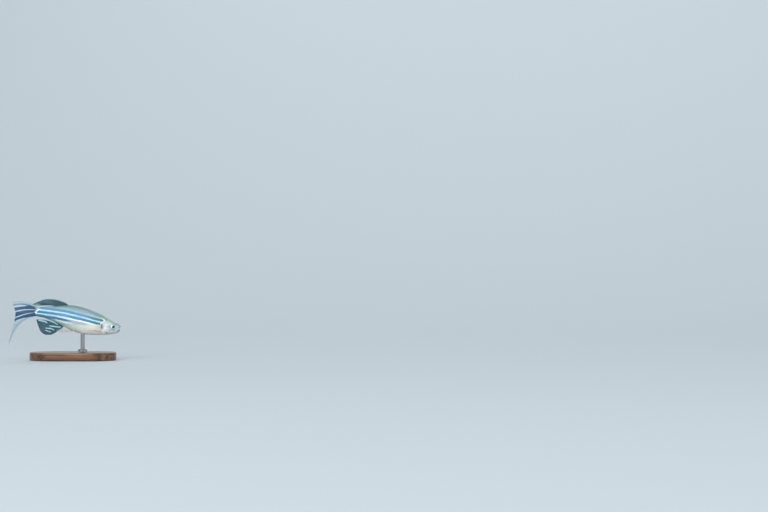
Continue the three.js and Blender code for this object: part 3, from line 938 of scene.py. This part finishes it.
# %% Lay one scale
SCALE_ROWS = 26
SCALE_STEP = (1.02 * MM, 0.62 * MM)  # from one scale to the next, at the gills and at the tail
SCALE_LIFT = (-0.02 * MM, 0.036 * MM)  # of its root and of its free edge
SCALE_LAP = 0.012 * MM  # how much a scale's upper side dips under the one above it
SCALE_THICK, SCALE_DOME = 0.006 * MM, 0.004 * MM
BAKE_PATCH = 0.003  # a scale's size on its UV map, where places and shares of the girth lie
rng = random.Random(7)
scales_bm = bmesh.new()
scale_layer = scales_bm.verts.layers.float_vector.new("scale")
bake_layer = scales_bm.loops.layers.uv.new("OFBake")


def lay_scale(place, share, length):
    spread = 0.82 / SCALE_ROWS
    tilt = rng.uniform(0.8, 1.25)
    lap = -SCALE_LAP if share < 0.5 else SCALE_LAP
    points = stamp(scales_bm, ONE_SCALE)
    for vert in points:
        x, y, z = vert.co
        here = round(place + (x - 0.15) * length / LENGTH, 5)
        point, outward = skin_at(here, turn_at(round(place, 5), share + y * spread))
        lift = lerp(*SCALE_LIFT, x) * tilt + lap * y
        lift += z * (SCALE_THICK + SCALE_DOME * (1 - y * y))
        vert[scale_layer] = (x, y, 0)
        vert.co = point + outward * lift
    for face in {face for vert in points for face in vert.link_faces}:
        for loop in face.loops:
            x, y, _ = loop.vert[scale_layer]
            loop[bake_layer].uv = (place + BAKE_PATCH * (x - 0.5), share + BAKE_PATCH * y / 2)


# %% Lay all scales
FIRST_SCALE, LAST_SCALE = 0.17, 1.0


def is_scaled(place, share):
    """True behind the gill opening, and on the nape."""
    height = body_point(place, turn_at(place, share)).z / LENGTH
    gill, _ = edge_at("gill", round(min(0.12, max(-0.13, height)), 3))
    return place > gill + 0.014


place, column, laid = FIRST_SCALE, 0, 0
while place < LAST_SCALE:
    step = lerp(*SCALE_STEP, place)
    for row in range(SCALE_ROWS):
        share = (row + 0.5 * (column % 2) + rng.uniform(-0.04, 0.04)) / SCALE_ROWS
        if is_scaled(place, share):
            lay_scale(place, share, 1.9 * step)
            laid += 1
    place += step / LENGTH
    column += 1
seat(scales_bm)
print("scales:", laid, "in", column, "columns")

# %% [markdown]
# ## The scales' finish
#
# Each scale carries the stripe that lies under it, so it wears the same markings as the skin.
# Fine rings of growth run round its root and show as a faint relief, its free edge is darker,
# and no two scales shine quite alike.

# %% Paint the scales


def scaly(tree, own, colour):
    x, y, _ = parts(kept(tree, "scale"))
    rings = maths("SINE", maths("SQRT", x * x + y * y * 0.25) * 90)
    waves = relief(mottle(own, 0.03, 2), 0.04 * MM, 0.4)
    from_middle = x - 0.5
    off = maths("SQRT", from_middle * from_middle * 4 + y * y)
    edge = fade(off, 0.8, 1.0) * fade(x, 0.45, 0.7) * 0.3
    return mix(edge, colour, "5f7f8c", "MULTIPLY"), relief(rings, 0.002 * MM, 0.3, waves)


piece("scales", scales_bm, wet_skin("scale_coat", 0.22, scaly), "skin")

# %% [markdown]
# ## The eyes
#
# A fish's eye has no lid: a clear dome stands over a silver iris with a small black pupil. A
# painted ball would look flat, because the real highlight lies on the dome and the iris lies
# under it. So each eye is two shapes turned about the eye's own axis, an eyeball and a dome.

# %% Turn the eyeballs and their domes
BALL_PROFILE = [  # out from the axis, out from the head, in mm
    (0, 0.62), (0.25, 0.6), (0.47, 0.555), (0.52, 0.51), (0.57, 0.52), (0.72, 0.48), (0.9, 0.39),
    (1.0, 0.29), (1.06, 0.18), (1.09, 0), (0.95, -0.35), (0.5, -0.55), (0, -0.6),
]
DOME_PROFILE = [
    (EYE_RADIUS / MM * sin(turn), EYE_BULGE / MM * cos(turn))
    for turn in [radians(98) * i / 14 for i in range(15)]
]


def spun(profile, axis, steps):
    """A profile of points turned all the way round an axis."""
    bm = bmesh.new()
    points = [bm.verts.new(point) for point in profile]
    line = [bm.edges.new(pair) for pair in zip(points, points[1:])]
    whole = {"cent": (0, 0, 0), "axis": axis, "angle": 2 * pi, "steps": steps}
    bmesh.ops.spin(bm, geom=points + line, use_merge=True, **whole)
    bmesh.ops.remove_doubles(bm, verts=bm.verts, dist=ONE_POINT)
    return bm


def turned_about_eye(profile, sign):
    bm = spun([(out * MM, rise * MM, 0) for out, rise in profile], (0, 1, 0), 64)
    reach = bm.verts.layers.float.new("reach")
    for vert in bm.verts:
        vert[reach] = hypot(vert.co.x, vert.co.z) / EYE_RADIUS
    bmesh.ops.transform(bm, matrix=SEAT @ eye_seat(sign), verts=bm.verts)
    bmesh.ops.recalc_face_normals(bm, faces=bm.faces)
    return bm


# %% Paint the eyes
PUPIL = 0.45
IRIS = [  # share of the eye's radius, colour
    # The pupil's dark teal, in place of black, is a painted reflection.
    (0, "00504c"), (PUPIL, "003c3a"), (PUPIL + 0.03, "7f9c84"), (PUPIL + 0.09, "d9efe6"),
    (0.7, "e6f7f2"), (0.84, "d3e3df"), (0.95, "c0cfce"), (1, "a3b2b4"),
]


def iris_finish():
    material, tree = finish("iris")
    reach = kept(tree, "reach", "Fac")
    _, _, height, own = fish_axes(tree)
    cloudy = mottle(own, 0.006, 4, 0.65)
    outside_pupil = fade(reach, PUPIL, PUPIL + 0.04)
    upper = fade(height, EYE_HEIGHT + 0.012, EYE_HEIGHT + 0.034) * outside_pupil
    colour = colours_along(reach + scaled(cloudy, -0.03, 0.03), IRIS)
    colour = mix(upper * 0.35, colour, "6d7c7c")
    return join(
        material,
        Base_Color=mix(0.4, colour, scaled(cloudy, 0.4, 1.4), "MULTIPLY"),
        Metallic=outside_pupil * 0.45,
        Specular_IOR_Level=scaled(outside_pupil, 0.08, 0.5),
        Roughness=scaled(outside_pupil, 0.4, 0.3),
        Normal=relief(cloudy * outside_pupil, 0.015 * MM, 0.5),
    )


def dome_finish():
    """Clear, with only the reflection of its surface."""
    material, tree = finish("cornea")
    rough = scaled(mottle(fish_axes(tree)[3], 0.01), 0.02, 0.05)
    join(material, Base_Color="ffffff", Metallic=1, Roughness=rough)
    glint = flow("Fresnel", {"IOR": 1.25}, tree=tree)
    clear = flow("BsdfTransparent", {}, tree=tree)
    mirror = Flow(tree.nodes["Principled BSDF"].outputs[0])
    wet = flow("MixShader", {0: glint, 1: clear, 2: mirror})
    feed(tree.nodes["Material Output"].inputs["Surface"], wet)
    return material


# %% Make both eyes
iris, cornea = iris_finish(), dome_finish()
for side, sign in SIDES.items():
    ball = turned_about_eye(BALL_PROFILE, sign)
    piece(f"eyeball_{side}", ball, iris, "eye", f"eye_{side}")
    piece(f"cornea_{side}", turned_about_eye(DOME_PROFILE, sign), cornea, "eye")

# %% [markdown]
# ## Tubes for rays and barbels
#
# Fin rays and barbels are thin tapered tubes along curved paths. A curve object with a bevel
# would do, but some hundreds of them must end up in a few meshes. So one straight tube is
# modelled as a template, and each copy is bent along its path.

# %% Bend a tube along a path


def tube_template(sides, rings):
    """A tube of radius 1 about Z, from z 0 to z 1, with that many steps along it."""
    bm = bmesh.new()
    bmesh.ops.create_cone(bm, cap_ends=True, segments=sides, radius1=1, radius2=1, depth=1)
    upright_edges = [edge for edge in bm.edges if abs(edge.verts[0].co.z - edge.verts[1].co.z) > 0.5]
    bmesh.ops.subdivide_edges(bm, edges=upright_edges, cuts=rings - 1, use_grid_fill=True)
    bmesh.ops.translate(bm, vec=(0, 0, 0.5), verts=bm.verts)
    return mesh_of(bm, f"tube_{sides}_{rings}")


def lay_tube(bm, template, path, radius, facing, mark=None):
    """Both path and radius are functions of a share from 0 to 1 along the tube. Mark is a layer,
    and a function of the share that gives the value to keep in it."""
    frames = {}
    for vert in stamp(bm, template):
        share = round(vert.co.z, 4)
        if share not in frames:
            ahead = path(min(1, share + 0.01)) - path(max(0, share - 0.01))
            across = ahead.cross(facing).normalized()
            frames[share] = (path(share), across, across.cross(ahead).normalized(), radius(share))
        here, across, out, size = frames[share]
        vert.co = here + (across * vert.co.x + out * vert.co.y) * size
        if mark is not None:
            layer, value = mark
            vert[layer] = value(share)


# %% [markdown]
# ## The fins
#
# A fin is a clear membrane stretched on rays. Each ray leaves the body as one thick bony rod,
# is jointed like bamboo, and splits in two and then in four towards the fin's edge. A fin is
# described by its first and last ray's roots and by a few rays between them: the angle of each
# at its root and at its tip, and its length. From these, any place on the fin has a point: v
# runs across the rays, and u out along them.

# %% Rows of rays: v, angle at the root and at the tip in degrees, length in mm
GAP = 0.3 * MM  # between the solids of a fin and of the body
DORSAL = {
    "rays": 9,
    "from": 0.65,
    "to": 0.79,
    "rows": [
        (0, 20, -17, 9.4), (0.3, 8, -19, 10.8), (0.55, 0, -18, 11.1), (0.8, -7, -14, 9.6),
        (1, -10, -14, 6.9),
    ],
}
ANAL = {
    "rays": 13,
    "from": 0.665,
    "to": 0.862,
    "rows": [
        (0, -50, -32, 5.6), (0.25, -52, -34, 6.6), (0.5, -48, -30, 6.6), (0.75, -38, -20, 5.5),
        (1, -14, -4, 4.4),
    ],
}
CAUDAL = {
    "rays": 19,
    "ease": 1.5,
    "rows": [
        (0, 33, -18, 10.1), (0.25, 3, -25, 8.4), (0.5, -12, -35, 8.6), (0.64, -14, -48, 9.6),
        (0.78, -15, -69, 12.2), (0.86, -16, -79, 14.8), (0.93, -17, -86, 16.3),
        (1, -18, -89, 16.6),
    ],
}
PELVIC = {
    "rays": 8,
    "thin": 0.6,
    "rows": [(0, -20, -14, 7.3), (0.5, -8, -4, 6.6), (1, 4, 6, 4.6)],
}
PECTORAL = {
    "rays": 10,
    "thin": 0.5,
    "rows": [(0, 52, 38, 6.2), (0.5, 38, 24, 5.6), (1, 20, 12, 3.2)],
}


def ray_reach(fin, v, u):
    """How far back and up a share u of the ray at v lies from its root."""
    first, last = (radians(through(fin["rows"], i, v)) for i in (1, 2))
    step = through(fin["rows"], 3, v) * MM * u / 16
    back = up = 0.0
    for i in range(16):
        angle = lerp(last, first, (1 - (i + 0.5) / 16 * u) ** fin.get("ease", 1))
        back += step * cos(angle)
        up += step * sin(angle)
    return back, up


# %% Where each fin is rooted


def keel_root(fin, column, way, v):
    place = lerp(fin["from"], fin["to"], v)
    return Vector((-place * LENGTH, 0, way * (section(column, place) + GAP)))


def caudal_root(v):
    return Vector((-LENGTH - GAP, 0, lerp(0.048, -0.047, v) * LENGTH))


def pelvic_root(sign, v):
    place, side = lerp(0.505, 0.54, v), lerp(1.35, 0.95, v) * MM
    return Vector((-place * LENGTH, sign * side, underside(place, side) - GAP - 0.2 * MM))


def pectoral_root(sign, v):
    place, height = lerp(0.252, 0.285, v), -0.083 * LENGTH
    return Vector((-place * LENGTH, sign * (side_of(place, height) + GAP), height))


def tilted(sign, degrees):
    """The way up of a fin's plane, for one that leans away from level."""
    return Vector((0, sign * cos(radians(degrees)), sin(radians(degrees))))


UP = Vector((0, 0, 1))
FINS = [  # name, fin, root, up, into the body
    ("dorsal_fin", DORSAL, partial(keel_root, DORSAL, BACK, 1), UP, -UP),
    ("anal_fin", ANAL, partial(keel_root, ANAL, BELLY, -1), UP, UP),
    ("caudal_fin", CAUDAL, caudal_root, UP, Vector((1, 0, 0))),
]
for side, sign in SIDES.items():
    pelvic = (PELVIC, partial(pelvic_root, sign), -tilted(sign, -62), UP)
    pectoral = (PECTORAL, partial(pectoral_root, sign), tilted(sign, -12), Vector((0, -sign, 0)))
    FINS += [(f"pelvic_fin_{side}", *pelvic), (f"pectoral_fin_{side}", *pectoral)]

# %% Points of a fin
ROOTS_IN = 0.25 * MM  # how far the rays start within the flesh, beyond the gap
WAVE = 0.13 * MM


def fin_point(fin, root, up, inward, v, u):
    back, rise = ray_reach(fin, v, max(0.0, u))
    point = root(v) + Vector((-back, 0, 0)) + up * rise
    sunk = (GAP + ROOTS_IN) * (1 - max(0.0, u)) ** 6 + max(0.0, -u) * 4 * MM
    facing = Vector((1, 0, 0)).cross(up)
    sway = WAVE * sin(2 * pi * (1.4 * v + 0.8 * u)) * ramp(u, 0, 1)
    return point + inward * sunk + facing * sway


# %% Lay the rays
RAY_RADII = (0.1 * MM, 0.018 * MM)
RAY_START = -0.06
SPLITS = (0.42, 0.7)
JOINTS = 44
STEM = tube_template(6, 18)
BRANCH = tube_template(5, 16)


def ray_branches(outer):
    """Each branch of a ray: where it starts and ends, and which way it went at each split."""
    if outer:
        return [(RAY_START, 1.0, 0, 0)]
    first = [(RAY_START, SPLITS[0], 0, 0)]
    second = [(*SPLITS, way, 0) for way in (-1, 1)]
    third = [(SPLITS[1], 1.0, way, turn) for way in (-1, 1) for turn in (-1, 1)]
    return first + second + third


def lay_rays(bm, layer, fin, point, facing):
    """Point gives the fin's point at v and u."""
    last = fin["rays"] - 1
    for i in range(fin["rays"]):
        outer = i in (0, last)
        thick = fin.get("thin", 1) * (1.25 if outer else 1)
        for start, end, way, turn in ray_branches(outer):

            def at(share):
                u = lerp(start, end, share)
                parted = 0.24 * way * ramp(u, SPLITS[0], 1.15) + 0.12 * turn * ramp(u, SPLITS[1], 1.1)
                return Vector(((i + parted) / last, u, 1))

            def size(share):
                u = max(0.0, lerp(start, end, share))
                return lerp(*RAY_RADII, u**0.6) * (1 - 0.14 * (round(u * JOINTS) % 2)) * thick

            path = lambda share: point(*at(share)[:2])
            lay_tube(bm, STEM if start < 0 else BRANCH, path, size, facing, (layer, at))


# %% Lay the membrane and make the fin


def lay_membrane(bm, layer, fin, point):
    """A sheet whose free edge is drawn in a little between the rays."""
    gaps = fin["rays"] - 1
    bmesh.ops.create_grid(bm, x_segments=6 * gaps, y_segments=32, size=0.5)
    for vert in bm.verts:
        v = vert.co.x + 0.5
        slack = sin(pi * v * gaps) ** 2
        u = lerp(RAY_START, 1 - 0.035 * slack, vert.co.y + 0.5)
        vert[layer] = (v, u, 0)
        vert.co = point(v, u)
    bmesh.ops.solidify(bm, geom=bm.faces[:], thickness=0.04 * MM)


def make_fin(name, fin, root, up, inward, material):
    bm = bmesh.new()
    layer = bm.verts.layers.float_vector.new("fin_place")
    point = partial(fin_point, fin, root, up, inward)
    lay_membrane(bm, layer, fin, point)
    lay_rays(bm, layer, fin, point, Vector((1, 0, 0)).cross(up))
    seat(bm)
    bmesh.ops.recalc_face_normals(bm, faces=bm.faces)
    piece(f"{name}_fine", bm, material, "fin", name)


# %% [markdown]
# ## The fins' finish
#
# A danio's tail and anal fins carry the flank's stripes on, pale on dark blue, while the paired
# fins are nearly clear. The tail's stripes follow its rays, so they are courses of v over u.
# The anal fin's run level with the body's, so they are courses of height over place. The
# membrane lets light through, and the rays much less.

# %% Courses of the fins' pale stripes
TAIL_EDGE = [  # the pale lower edge of the dark part: u, v, half width
    (0, 1.0, 0.02), (0.1, 0.99, 0.02), (0.2, 0.92, 0.022), (0.4, 0.78, 0.022), (0.63, 0.69, 0.022),
    (1, 0.63, 0.02),
]
TAIL_STRIPES = [
    [(0, 0.13, -0.02), (0.35, 0.12, -0.01), (0.55, 0.12, 0.018), (1, 0.12, 0.018)],
    [(0, 0.29, 0.02), (0.5, 0.28, 0.022), (1, 0.27, 0.02)],
    [(0, 0.58, 0.024), (0.5, 0.53, 0.022), (1, 0.49, 0.02)],
    TAIL_EDGE,
    [(0, 1.02, 0.02), (1, 0.98, 0.03)],
]
ANAL_STRIPES = [  # place, height, half width
    [(0.735, -0.102, 0.004), (0.79, -0.081, 0.006), (0.87, -0.068, 0.007), (0.99, -0.08, 0.006)],
    [(0.86, -0.107, 0.004), (0.88, -0.096, 0.006), (0.93, -0.092, 0.006), (0.97, -0.093, 0.004)],
    [(0.7, -0.122, 0.005), (0.72, -0.125, 0.006), (0.8, -0.13, 0.006), (0.835, -0.132, 0.004)],
    [(0.765, -0.172, 0.004), (0.81, -0.16, 0.006), (0.84, -0.163, 0.006), (0.87, -0.165, 0.004)],
    [(0.8, -0.2, 0.004), (0.83, -0.197, 0.005), (0.87, -0.19, 0.004)],
]

# %% Paint the striped fins


def paint_tail(v, u, place, height, own):
    """Each paint gives the colour, and how much the membrane keeps light back."""
    pale = fade(u, 0.04, 0.0) * 0.3
    for rows in TAIL_STRIPES:
        pale = maths("MAXIMUM", pale, band(u, v, rows, 0.02))
    above_edge = fade(course(u, [row[:2] for row in TAIL_EDGE]) - v, -0.02, 0.02)
    striped = fade(v, 0.05, 0.1) * above_edge
    colour = mix(pale, mix(striped, "94b4ca", "0c4c76"), "cfe3ee")
    return colour, maths("MAXIMUM", striped * 1.4, pale) - 0.12


def paint_anal(v, u, place, height, own):
    pale = 0.0
    for rows in ANAL_STRIPES:
        within = between(place, rows[0][0], rows[-1][0], 0.006)
        pale = maths("MAXIMUM", pale, band(place, height, rows, 0.005) * within)
    patches = fade(mottle(own, 0.05, 3), 0.4, 0.6)
    return mix(pale, mix(patches, "044f6a", "0c575c"), "c4e6ec"), 1.35


# %% Paint the other fins


def paint_dorsal(v, u, place, height, own):
    edge = maths("MAXIMUM", fade(v, 0.1, 0.05), fade(u, 0.93, 0.98))
    glow = between(v, 0.55, 0.9, 0.16) * between(u, 0.77, 0.93, 0.08)
    colour = mix(fade(u, 0.1, 0.8), "034446", "044a60")
    colour = mix(edge * fade(u, 0.1, 0.3) * 0.75, colour, "8aafbd")
    return mix(glow * 0.75, colour, "8cba8a"), 1.6


def paint_clear(v, u, place, height, own):
    return mix(fade(u, 0.0, 0.8), "eadfc4", "dedfd2"), -0.24


# %% Finish of a fin


def fin_finish(name, paint, ray_hold=0.85):
    """Ray_hold says how much light the rays keep back."""
    material, tree = finish(name)
    v, u, on_ray = parts(kept(tree, "fin_place"))
    place, _, height, own = fish_axes(tree)
    colour, dense = paint(v, u, place, height, own)
    cloudy = mottle(own, 0.02, 4, 0.6)
    colour = mix(0.5, colour, scaled(cloudy, 0.45, 1.45), "MULTIPLY")
    film = scaled(cloudy, 0.16, 0.34) + dense * 0.5
    return join(
        material,
        Base_Color=mix(on_ray * 0.17, colour, "7c93a0"),
        Alpha=maths("MAXIMUM", film, on_ray * ray_hold, clamp=True),
        Roughness=scaled(cloudy, 0.25, 0.45),
        Normal=relief(mottle(own, 0.004, 2), 0.02 * MM, 0.4),
        Coat_Weight=0.15,
        Coat_Roughness=0.15,
    )


# %% Make all fins
CLEAR_FIN = fin_finish("clear_fin", paint_clear, 0.2)
FIN_FINISHES = {
    "dorsal_fin": fin_finish("dorsal_finish", paint_dorsal),
    "anal_fin": fin_finish("anal_finish", paint_anal),
    "caudal_fin": fin_finish("caudal_finish", paint_tail, 0.5),
}
for name, fin, root, up, inward in FINS:
    make_fin(name, fin, root, up, inward, FIN_FINISHES.get(name, CLEAR_FIN))

# %% [markdown]
# ## The barbels
#
# Two pairs of soft feelers hang from the mouth, one from its upper lip and one from its
# corners. They start a little inside the skin, so that no gap shows where they grow out.

# %% Paths of the barbels
BARBELS = {  # place and height of the root, then steps back, out and up in mm
    "upper": (0.014, 0.22 * MM, [(0.28, 0.3, -0.04), (0.4, 0.2, -0.18), (0.45, 0, -0.35)]),
    "corner": (
        0.026,
        -0.98 * MM,
        [(0.4, 0.32, -0.28), (0.75, 0.2, -0.48), (0.85, 0, -0.4), (0.75, -0.1, -0.15)],
    ),
}


def barbel_path(place, height, steps, sign):
    """From within the lip, out through the skin at the root, and on by the steps."""
    side = side_of(place, height)
    points = [Vector((-(place - 0.004) * LENGTH, sign * (side - 0.3 * MM), height))]
    points.append(Vector((-place * LENGTH, sign * (side + 0.05 * MM), height)))
    for back, out, rise in steps:
        points.append(points[-1] + Vector((-back, sign * out, rise)) * MM)
    rows = [(i / (len(points) - 1), *point) for i, point in enumerate(points)]
    return lambda share: Vector([through(rows, axis, share) for axis in (1, 2, 3)])


# %% Grow the barbels
BARBEL_RADII = (0.1 * MM, 0.035 * MM)
FEELER = tube_template(10, 40)


def barbel_finish():
    material, tree = finish("barbel_skin")
    own = fish_axes(tree)[3]
    cloudy = mottle(own, 0.01, 3)
    freckled = fade(mottle(own, 0.004, 2), 0.58, 0.7)
    return join(
        material,
        Base_Color=mix(freckled * 0.4, mix(cloudy, "98a59c", "c3c4b2"), "59625c"),
        Roughness=scaled(cloudy, 0.25, 0.45),
        Normal=relief(mottle(own, 0.003), 0.03 * MM, 0.5),
    )


feeler_finish = barbel_finish()
for kind, (place, height, steps) in BARBELS.items():
    for side, sign in SIDES.items():
        bm = bmesh.new()
        way = barbel_path(place, height, steps, sign)
        lay_tube(bm, FEELER, way, lambda share: lerp(*BARBEL_RADII, share**0.7), UP)
        seat(bm)
        bmesh.ops.recalc_face_normals(bm, faces=bm.faces)
        name = f"barbel_{kind}_{side}"
        piece(f"{name}_fine", bm, feeler_finish, "barbel", name)

# %% [markdown]
# ## The stand
#
# The stand's solids already have their true shape, so they only need finishes: walnut, whose
# grain is noise drawn out along the plinth, and steel with fine brush marks round the rod.

# %% Finish the stand
WALNUT = [(0.3, "2f1b12"), (0.45, "55361f"), (0.55, "6d482b"), (0.7, "8a6241")]


def drawn_out(tree, scale):
    """The world's coordinates, stretched so that noise on them makes streaks."""
    world = flow("TexCoord", {}, "Object", tree)
    return flow("Mapping", {"Vector": world, "Scale": scale})


def walnut():
    material, tree = finish("walnut")
    drawn = drawn_out(tree, (60, 900, 900))
    wavy = mix(0.3, drawn, mottle(drawn, 1 / 0.35, 3, key="Color"), "ADD")
    grain = mottle(wavy, 1 / 1.2, 6)
    pores = mottle(drawn_out(tree, (400, 9000, 9000)), 1)
    return join(
        material,
        Base_Color=mix(fade(pores, 0.6, 0.7) * 0.6, colours_along(grain, WALNUT), "22130c"),
        Roughness=scaled(grain, 0.3, 0.5),
        Normal=relief(pores, 0.02 * MM, 0.4),
        Coat_Weight=0.25,
    )


def brushed_steel():
    material, tree = finish("brushed_steel")
    brush = mottle(drawn_out(tree, (300, 300, 14000)), 1, 3)
    return join(
        material,
        Base_Color=mix(brush, "83878a", "a6a9ab"),
        Metallic=1,
        Roughness=scaled(brush, 0.28, 0.5),
        Normal=relief(brush, 0.01 * MM, 0.4),
    )


WOOD, STEEL = walnut(), brushed_steel()
for name, material in (("stand_base", WOOD), ("stand_rod", STEEL), ("stand_collar", STEEL)):
    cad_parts[name].material_slots[0].material = material

# %% [markdown]
# ## The studio
#
# The model stands alone in a pale studio. A flat backdrop would end at some edge when the model
# is seen from the side, so the floor runs up into a wall all round, like a bowl, with no line
# where they meet. Small lamps would burn white streaks into wet skin, so the lamps are as large
# as windows.

# %% Spin the floor and wall
FLOOR_RADIUS, CORNER, WALL_TOP = 0.62, 1.1, 1.3
BOWL_MIDDLE = (0.05, -0.35, 0)  # between the model and the far camera


def studio_bowl():
    arc = [radians(4.5 * i) for i in range(21)]
    profile = [(0, 0, 0), (0.3, 0, 0)]
    profile += [(FLOOR_RADIUS + CORNER * sin(t), 0, CORNER * (1 - cos(t))) for t in arc]
    profile += [(FLOOR_RADIUS + CORNER, 0, WALL_TOP)]
    bm = spun(profile, (0, 0, 1), 96)
    bmesh.ops.translate(bm, vec=BOWL_MIDDLE, verts=bm.verts)
    bmesh.ops.recalc_face_normals(bm, faces=bm.faces)
    return mesh_of(bm, "studio")


studio = placed("studio", studio_bowl())
studio.data.shade_smooth()
studio.data.materials.append(join(finish("paper")[0], Base_Color="c3ccd2", Roughness=0.85))

# %% Light it softly


def lamp(name, at, size, power):
    made = placed(name, bpy.data.lights.new(name, "AREA"))
    made.data.size = size
    made.data.energy = power
    made.location = at
    made.rotation_euler = (snout - Vector(at)).to_track_quat("-Z", "Y").to_euler()


lamp("key", (-0.38, -0.93, 0.68), 1.2, 13)
lamp("fill", (0.9, -0.5, 0.12), 0.6, 3.5)
lamp("rim", (0.2, 0.7, 0.8), 1.0, 4)
world = bpy.data.worlds.new("studio_air")
world.use_nodes = True
sky = world.node_tree.nodes["Background"]
feed(sky.inputs["Color"], "e6eef2")
feed(sky.inputs["Strength"], 0.42)
bpy.context.scene.world = world
bpy.context.scene.view_settings.view_transform = "Standard"
